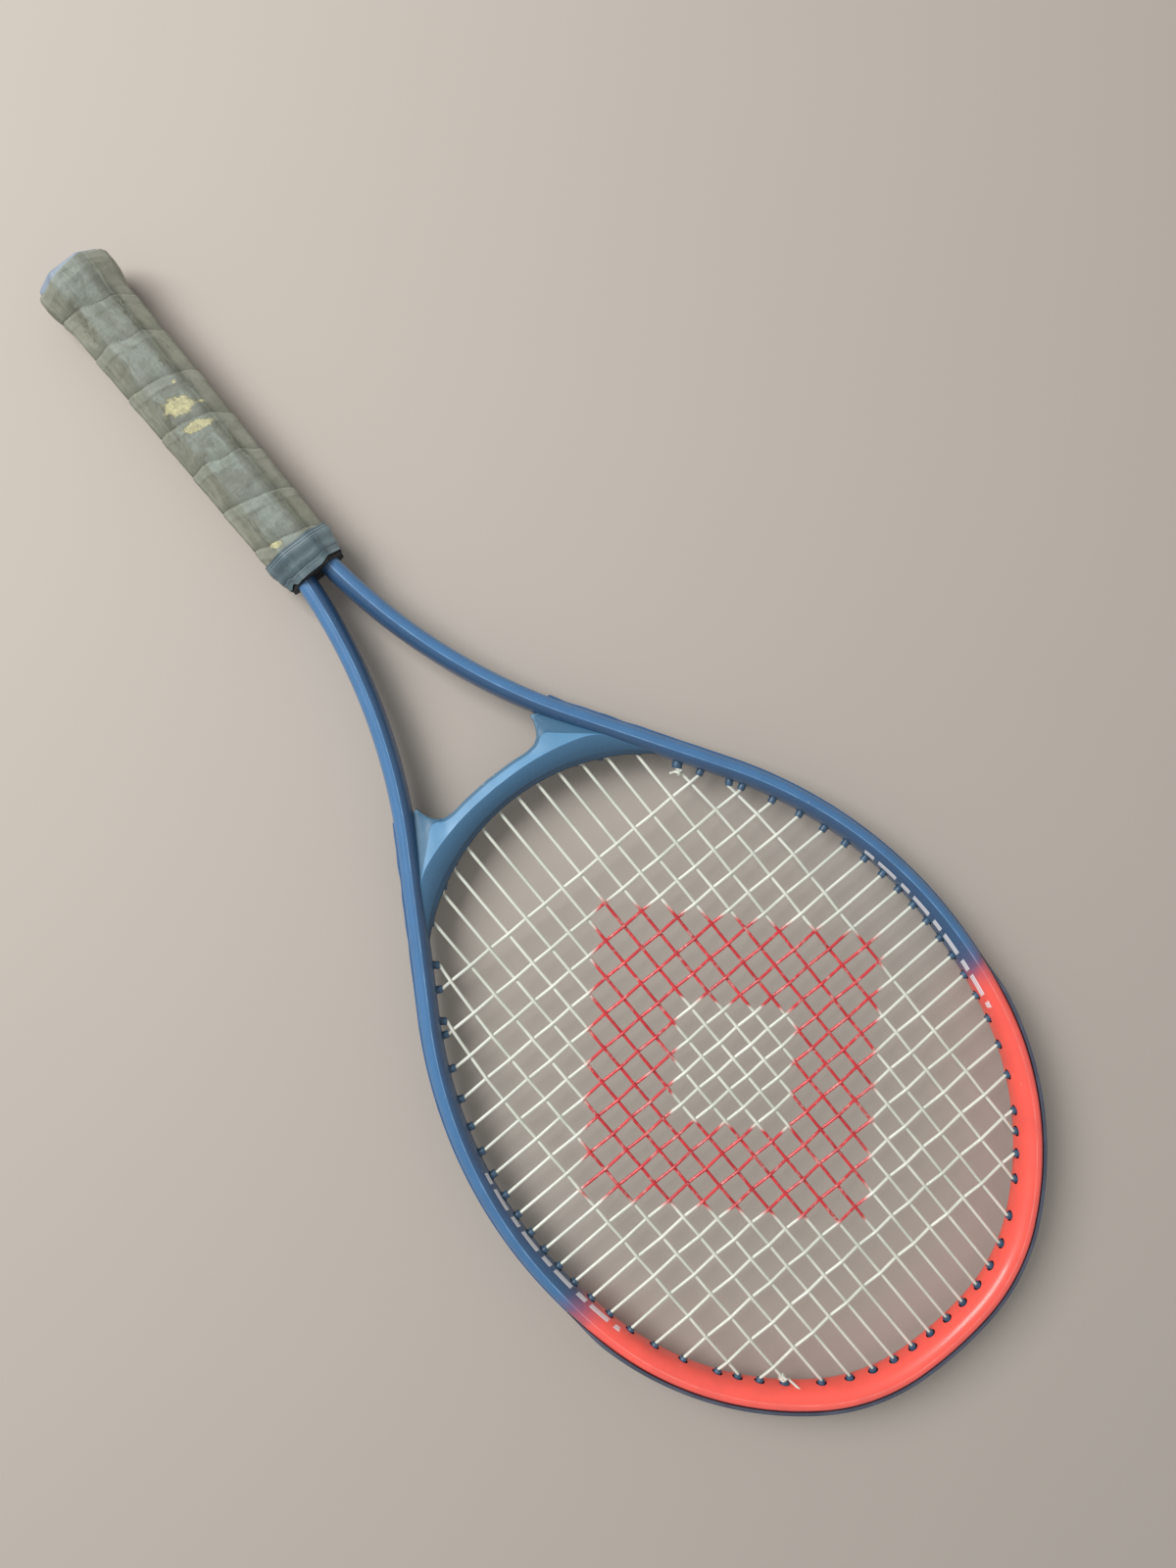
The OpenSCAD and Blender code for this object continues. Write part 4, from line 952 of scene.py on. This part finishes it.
def flow(points, per=3, near=1.6):
    """Smooth curve through points: on each stretch a cubic whose end directions are the
    shared, distance-weighted tangents and whose speeds are the stretch's own length, so it
    never overshoots. A long stretch is first pinned near mm from both its ends, which keeps it
    straight between them."""
    gap = np.diff(points, axis=0)
    far = np.flatnonzero(np.linalg.norm(gap, axis=1) > 2.5 * near)
    pin = unit(gap[far]) * near
    pins = np.stack([points[far] + pin, points[far + 1] - pin], 1).reshape(-1, 3)
    p = np.insert(points, np.repeat(far + 1, 2), pins, axis=0)
    d = np.diff(p, axis=0)
    length = np.linalg.norm(d, axis=1, keepdims=True)
    pull = d / length ** 2
    tangent = unit(np.concatenate([pull[:1], pull[:-1] + pull[1:], pull[-1:]]))[:, None]
    t, speed = (np.arange(per) / per)[None, :, None], length[:, None]
    h = hermite(t, p[:-1, None], p[1:, None], tangent[:-1] * speed, tangent[1:] * speed)
    return np.concatenate([h.reshape(-1, 3), p[-1:]])


def cord_surface(path, r, sides=10):
    """Circle of radius r carried along a path, its sideways direction always level; its UV is
    the length along in metres by the share of the way round."""
    d = unit(np.gradient(path, axis=0))
    side = unit(np.cross(d, [0.0, 0.0, 1.0]))
    a = (np.arange(sides) * 2 * np.pi / sides)[:, None]
    rings = path[:, None] + r * (side[:, None] * np.cos(a) + np.cross(side, d)[:, None] * np.sin(a))
    steps = np.linalg.norm(np.diff(path, axis=0), axis=1)
    uv = grid_uv(np.concatenate([[0], np.cumsum(steps)]), np.linspace(0, 1, sides + 1))
    return surface(rings, uv)


def at3(p, z):
    """Flat points lifted to height z."""
    return np.concatenate([p, np.full((len(p), 1), z)], 1)


def inner_points(holes, i, side, z):
    """From the mouth of hole i to just below the groove."""
    m, u, reach, _ = holes
    return at3((m[i] + np.outer([0.0, reach[i] - TURN_IN], u[i])) * (side, 1), z)


def groove_line(s, z, bridge=False):
    """Points in the string groove of the rim, or of the bridge, at lengths s."""
    return at3(bridge_arc(s / RING_STRING, RING_STRING) if bridge else rim_at(s, STRING_N)[0], z)


def loop(a, b, z, bridge=False):
    """Along the groove from length a to length b, rounding in and out of the holes."""
    k = np.sign(b - a) * TURN_IN
    return groove_line(a + k + (b - a - 2 * k) * np.arange(4) / 3, z, bridge)


def weave_up(i, j, side):
    """+ where main i passes over cross j, - where it passes under."""
    return np.where(((i if side > 0 else -i - 1) + j) % 2 == 0, WEAVE, -WEAVE)


def main_line(i, side):
    """Main i from its throat hole to its tip hole; the ones that share a tie-off hole keep to
    one half of it."""
    low, high = THROAT_HOLES[0][i, 1] + CLEAR, TIP_HOLES[0][i, 1] - CLEAR
    j = np.flatnonzero((CROSS_Y > low) & (CROSS_Y < high))
    woven = np.stack([side * main_x(i, CROSS_Y[j]), CROSS_Y[j], weave_up(i, j, side)], -1)
    shift = SIDE_BY_SIDE if i == TIE else 0.0
    return np.concatenate([
        inner_points(THROAT_HOLES, i, side, min(side, 0) * shift)[::-1], woven,
        inner_points(TIP_HOLES, i, side, max(side, 0) * shift)])


def throat_loop(i, side):
    """Outside the throat from main i to main i - 1: in the rim's groove, in the bridge's, or
    from the one across to the other."""
    s = THROAT_HOLES[3] * side
    z = -SIDE_BY_SIDE if side < 0 and i == TIE else SIDE_BY_SIDE
    if i != BRIDGE_MAINS:
        return loop(s[i], s[i - 1], z, i < BRIDGE_MAINS)
    return np.concatenate([groove_line(s[i] + np.array([TURN_IN, 4.0]) * side, z),
                           groove_line(s[i - 1] + np.array([5.0, TURN_IN]) * side, z, True)])


def main_half(side):
    """All mains of one side from the outermost in: up one, round the tip, down the next and
    round the throat."""
    rows, s = [], TIP_HOLES[3] * side
    for i in range(MAINS - 1, 0, -2):
        rows += [main_line(i, side), loop(s[i], s[i - 1], SIDE_BY_SIDE),
                 main_line(i - 1, side)[::-1]]
        if i > 1:
            rows.append(throat_loop(i - 1, side))
    return np.concatenate(rows)


def main_string_path():
    """One length through all sixteen mains: it starts at the tie-off beside the seventh
    main."""
    s, z, last = THROAT_HOLES[3], SIDE_BY_SIDE, MAINS - 1
    return np.concatenate([
        inner_points(THROAT_HOLES, TIE, -1, z), loop(-s[TIE], -s[last], -z), main_half(-1),
        loop(-s[0], s[0], z, True), main_half(1)[::-1],
        groove_line(s[last] + np.array([1.0, 3.0]), z)])


def cross_line(j):
    """Cross j from the +X side to the -X side."""
    y = CROSS_Y[j]
    x = main_x(np.arange(MAINS), y)
    i = np.flatnonzero(x < SIDE_HOLES[0][j, 0] - CLEAR)
    right, left = (np.stack([side * x[i], np.full(len(i), y), -weave_up(i, j, side)], -1)
                   for side in (1, -1))
    return np.concatenate([inner_points(SIDE_HOLES, j, 1, 0.0)[::-1], right[::-1], left,
                           inner_points(SIDE_HOLES, j, -1, 0.0)])


def cross_string_path():
    """One length through all twenty crosses, there and back, to the tie-off at the tip."""
    s, z = SIDE_HOLES[3], SIDE_BY_SIDE
    rows = [groove_line(s[0] - np.array([3.0, 1.0]), z)]
    for j in range(CROSSES):
        side = -1 if j % 2 == 0 else 1
        rows.append(cross_line(j)[::-side])
        if j < CROSSES - 1:
            rows.append(loop(s[j] * side, s[j + 1] * side, -z))
    rows += [loop(s[-1], TIP_HOLES[3][TIE], -z), inner_points(TIP_HOLES, TIE, 1, -z)[::-1]]
    return np.concatenate(rows)


def knot_path(at, way, tail, lift):
    """Two turns of a coil round the main, which runs along way, while it moves along it; then
    over the turns in a half hitch and off along a short tail that lifts away as the square."""
    a = np.linspace(0, 4 * np.pi, 52)
    coil = np.stack([0.35 + 1.32 * a / (2 * np.pi), KNOT_R * np.cos(a + 1.2),
                     KNOT_R * np.sin(a + 1.2)], -1)
    over = np.linspace(0, 1, 14)[1:, None]
    hitch = coil[-1] * (1 - over) + over * np.array([0.4, 1.9, 1.9])
    hitch[:, 2] += 1.6 * np.sin(np.pi * over[:, 0])
    t = np.array([0.35, 0.7, 1.0])
    end = np.stack([0.4 + tail[0] * t, 1.9 + tail[1] * t, 1.9 + lift * t * t], -1)
    along, out, up = (v[:, None] for v in np.concatenate([coil, hitch, end]).T)
    return np.concatenate([at + along * way + out * np.array([way[1], -way[0]]), up], 1)


def build_knots():
    """The two tie-offs: where each length ends, it is hitched round the main beside the wide
    barrel."""
    throat, tip = THROAT_HOLES[0][TIE] * (-1, 1), TIP_HOLES[0][TIE]
    for name, node, mouth, way, tail, lift in (
            ("throat_knot", "knot_throat", throat, np.array([0, 1]), (-1.2, 2.6), 0.6),
            ("tip_knot", "knot_tip", tip, np.array([0, -1]), (-7.5, 1.4), 2.2)):
        path = flow(knot_path(mouth + 0.2 * way, way, tail, lift))
        make_piece(name, [cord_surface(path, STRING_D / 2, 12)], [GUT], [node])


def build_strings():
    """The two laced lengths of the bed."""
    for name, node, path in (("mains", "main_string", main_string_path()),
                             ("crosses", "cross_string", cross_string_path())):
        make_piece(name, [cord_surface(flow(path), SHOWN_R)], [GUT], [node])


# ================= handle =================
PALLET_W, PALLET_H, BEVEL = 29.5, 26.1, 7.9
GIRTH, PITCH = 94.0, 22.2       # round the grip; a turn of the overgrip advances by the pitch


def grip_outline(corner=2.2, per_corner=5, per_side=9):
    """Rounded octagon of the handle as points, outward normals and share round it, from the
    middle of the +X side. Each corner is an arc whose centre lies corner / cos(22.5) inside
    the sharp corner."""
    hx, hz, c = PALLET_W / 2, PALLET_H / 2, BEVEL
    quarter = np.array([[hx, hz - c], [hx - c, hz]])
    half = np.concatenate([quarter, quarter[::-1] * (-1, 1)])
    p = np.concatenate([half, -half])
    side = p - np.roll(p, 1, 0)
    normal = unit(np.stack([side[:, 1], -side[:, 0]], -1))
    after = np.roll(normal, -1, 0)
    middle = unit(normal + after)
    centre = p - middle * (corner / np.sum(middle * normal, -1))[:, None]
    t = np.linspace(0, 1, per_corner)[None, :, None]
    arc_normal = unit((1 - t) * normal[:, None] + t * after[:, None])
    arc = centre[:, None] + corner * arc_normal
    start = np.roll(arc[:, -1], 1, 0)[:, None]
    straight = start + (np.arange(per_side) / per_side)[None, :, None] * (arc[:, :1] - start)
    points = np.concatenate([straight, arc], 1).reshape(-1, 2)
    flat_normal = np.broadcast_to(normal[:, None], straight.shape)
    normals = np.concatenate([flat_normal, arc_normal], 1).reshape(-1, 2)
    d = np.linalg.norm(np.roll(points, -1, 0) - points, axis=1)
    return points, normals, np.concatenate([[0], np.cumsum(d)]) / d.sum()


GRIP_P, GRIP_N, GRIP_T = grip_outline()


def handle_rings(y, grow):
    """The handle's outline at distances y from the butt, grown outwards by grow. Both are one
    value a ring or a grid (rings, points)."""
    size = (len(y), len(GRIP_P))
    y, grow = (np.broadcast_to(np.reshape(v, (len(v), -1)), size) for v in (y, grow))
    xz = GRIP_P + GRIP_N * grow[..., None]
    return np.stack([xz[..., 0], y, xz[..., 1]], -1)


def shell(y, inside_y, grow, inside_grow, uv=None):
    """A closed skin: rings up the outside, then rings back down the inside. Without a UV of
    its own it takes the distance from the butt by the length round the grip."""
    if uv is None:
        first = np.concatenate([v.reshape(len(v), -1)[:, 0] for v in (y, inside_y)])
        uv = grid_uv(first, GRIP_T * GIRTH * MM)
    rings = [handle_rings(y, grow), handle_rings(inside_y, inside_grow)]
    return surface(np.concatenate(rings), np.concatenate([uv, uv[:1]]), along=True)


def cap_out(y):
    """How far the butt cap flares beyond the moulding."""
    return np.interp(y, [0, 1.6, 9.0, 21.0, 700.0], [0.6, 1.9, 1.9, 0.0, 0.0])


def ripple(y, t, seed, waves, size):
    """Sum of slanted sine waves round and along the handle: amplitude size, directions drawn
    from a seeded generator."""
    r = np.random.default_rng(seed)
    total = 0
    for _ in range(waves):
        along, around, phase = r.uniform(0.05, 0.55), r.integers(1, 7), r.uniform(0, 6.28)
        total = total + np.sin(y * along + t * around * 6.2832 + phase)
    return total * size / waves


# where the lower edge of each turn of the overgrip crosses the middle of the front face
SEAMS = [-24.0, -1.5, 21.3, 41.5, 64.3, 87.3, 108.3, 131.0, 153.6, 176.2]
GRIP_LOW, GRIP_TOP, RIBBON = 2.2, 163.3, 0.55
TAPE_LOW, TAPE_TOP, TAPE_STEP = 158.2, 172.2, 0.14


def turn_at(y, t):
    """Turns of the ribbon counted up from the butt: a whole number at the lower edge of each
    turn, which climbs one pitch for each time round."""
    wander = ripple(y * 0.6, t, 31, 6, 1.6)
    return np.interp(y - (t - 0.25) * PITCH + wander, SEAMS, np.arange(len(SEAMS)))


def build_overgrip():
    """Wound ribbon. With f the distance past the lower edge of a turn, the surface rises 0.42
    in the first 0.8 mm (the raised edge), drops 0.22 where the turn beneath ends 5 mm on, sinks
    the last 0.2 towards the next edge and dips just before it; slanted waves wrinkle it. The
    end at the butt is cut askew and leaves the cap bare there."""
    t, top = GRIP_T, GRIP_TOP
    low = GRIP_LOW + 2.3 * np.exp(-((t - 0.18) / 0.09) ** 2)
    y = low + (top - low) * np.linspace(0, 1, 640)[:, None]
    turn = np.mod(turn_at(y, t), 1.0)
    f = turn * PITCH
    lap = 0.42 * ease(f, 0.0, 0.8) - 0.22 * ease(f, 4.2, 6.2) - 0.2 * ease(f, 5.5, 21.0)
    lap = lap - 0.12 * np.exp(-(PITCH - f) ** 2)
    wrinkles = ripple(y, t, 11, 9, 0.22) + ripple(y * 2.3, t, 5, 7, 0.12)
    seat = 1.4 + cap_out(y) + 0.4 * np.clip(1 - np.abs(y - 9.0) / 9, 0, None)
    edge = ease(y, low, low + 1.2) * (1 - ease(y, top - 0.8, top))
    grow = seat + (RIBBON + lap + wrinkles) * (0.35 + 0.65 * edge)
    under = [-1, 90, 80, 70, 60, 52, 44, 36, 30, 24, 16, 8, 0]
    lining = seat[under] - 0.05
    lining[-1] = cap_out(y)[0] + 0.05
    uv = np.stack([np.broadcast_to(t, turn.shape), turn], -1)
    skin = shell(y[:, :-1], y[under, :-1], grow[:, :-1], lining[:, :-1],
                 np.concatenate([uv, uv[under]]))
    make_piece("overgrip", [skin], [RUBBER], ["overgrip"], 60)


def build_tape():
    """Turns of tape round the top of the grip: two thin steps at its lower end where the turns
    under it end, one at the end of the overgrip and one at the end of the cushion, and an
    upper edge with a longer flap and a small torn one."""
    t = GRIP_T[:-1]
    y = np.linspace(TAPE_LOW, TAPE_TOP, 110)[:, None] + np.zeros_like(t)
    flap = 1.9 * ease(t, 0.15, 0.18) * (1 - ease(t, 0.34, 0.40))
    torn = 0.25 * np.sin(t * 12.57 + 1.0) + 1.4 * np.exp(-((t - 0.115) / 0.02) ** 2)
    y = y + ease(y, 166.0, TAPE_TOP) * (flap + torn)
    slip = y + ripple(y * 0.2, t, 3, 5, 0.5)
    grow = 0.65 + 1.2 * (1 - ease(slip, 167.2, 171.4)) + 1.15 * (1 - ease(slip, 161.9, 166.4))
    grow += TAPE_STEP * (ease(slip, 159.4, 159.6) + ease(slip, 160.6, 160.8))
    grow += ripple(y * 1.4, t, 21, 8, 0.10)
    skin = shell(y, y[::-1], grow, grow[::-1] - 0.42)
    make_piece("finishing_tape", [skin], [VINYL], ["finishing_tape"], 50)


def build_cushion():
    """The cushion grip under the overgrip: a plain sleeve that follows the flare of the
    cap."""
    y = np.concatenate([[4.9, 5.4], np.linspace(6.5, 24.0, 12), np.linspace(26, 168.4, 40)])
    skin = shell(y, y[::-1], cap_out(y) + 1.2, cap_out(y)[::-1] + 0.2)
    make_piece("cushion_grip", [skin], [CUSHION], ["base_grip"])


def build_cap():
    """Butt cap: a skirt that follows the handle's outline, flared, and an end wall whose rings
    run from the outline in to the rectangle of the door."""
    door_x, door_z = 7.5, 6.0
    y = np.array([26.0, 21.0, 17.0, 13.0, 9.0, 5.0, 1.6, 0.7, 0.2, 0.0])
    skirt = handle_rings(y, np.append(cap_out(y[:7]), [1.7, 1.3, 0.7]))
    outer = skirt[-1]
    a = np.arctan2(outer[:, 2], outer[:, 0])
    door = 1 / np.maximum(np.abs(np.cos(a)) / door_x, np.abs(np.sin(a)) / door_z)
    door_ring = np.stack([door * np.cos(a), np.zeros_like(a), door * np.sin(a)], -1)
    share = np.array([0.1, 0.25, 0.32, 0.36, 0.6, 0.85, 1.0])[:, None, None]
    face = outer * (1 - share) + door_ring * share
    face[..., 1] = np.array([0.0, 0.0, 0.3, 0.5, 0.5, 0.5, 0.5])[:, None]
    well, inner = door_ring[None] + (0, 2.6, 0), handle_rings([2.6, 26.0], [-1.0, -1.0])
    skin = surface(np.concatenate([skirt, face, well, inner]), along=True)
    make_piece("butt_cap", [skin], [CAP], ["butt_cap"], 40)


# ================= floor and light =================
FLOOR_Z, FLOOR_HALF = -0.0175, 4


def build_floor():
    """Plain pale floor, just under the racket."""
    z, w = min(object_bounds()[0][2], FLOOR_Z), FLOOR_HALF
    mesh = bpy.data.meshes.new("floor")
    mesh.from_pydata([(-w, -w, z), (w, -w, z), (w, w, z), (-w, w, z)], [], [(0, 1, 2, 3)])
    floor = put("floor", mesh)
    f = Finish("floor", 0.9)
    mottle = f.mix(f.noise(f.place(), 3, 3), (178, 170, 161), (174, 166, 157))
    mesh.materials.append(f.done(Base_Color=mottle))


def build_lights():
    """A broad soft lamp to one side above, and an even pale sky."""
    world = bpy.data.worlds.new("studio")
    world.use_nodes = True
    sky = world.node_tree.nodes["Background"].inputs
    sky["Color"].default_value, sky["Strength"].default_value = (1.0, 1.0, 1.0, 1), 0.48
    bpy.context.scene.world = world
    lamp_data = bpy.data.lights.new("window", "AREA")
    lamp_data.shape, lamp_data.size, lamp_data.size_y = "RECTANGLE", 0.9, 0.9
    lamp_data.energy = 30
    lamp = put("window", lamp_data)
    at, aim = Vector((0.42, -0.75, 1.2)), Vector((0, 0.42, 0))
    lamp.location = at
    lamp.rotation_euler = (aim - at).to_track_quat("-Z", "Y").to_euler()


build_rim()
build_strips()
build_bridge()
build_knots()
build_strings()
build_overgrip()
build_tape()
build_cushion()
build_cap()
for node, finish in (("pallet_front", FOAM), ("pallet_back", FOAM), ("butt_cap_staples", STEEL),
                     ("butt_cap_door", CAP)):
    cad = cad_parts[node]
    cad.data.materials.clear()
    cad.data.materials.append(finish)
build_floor()
build_lights()
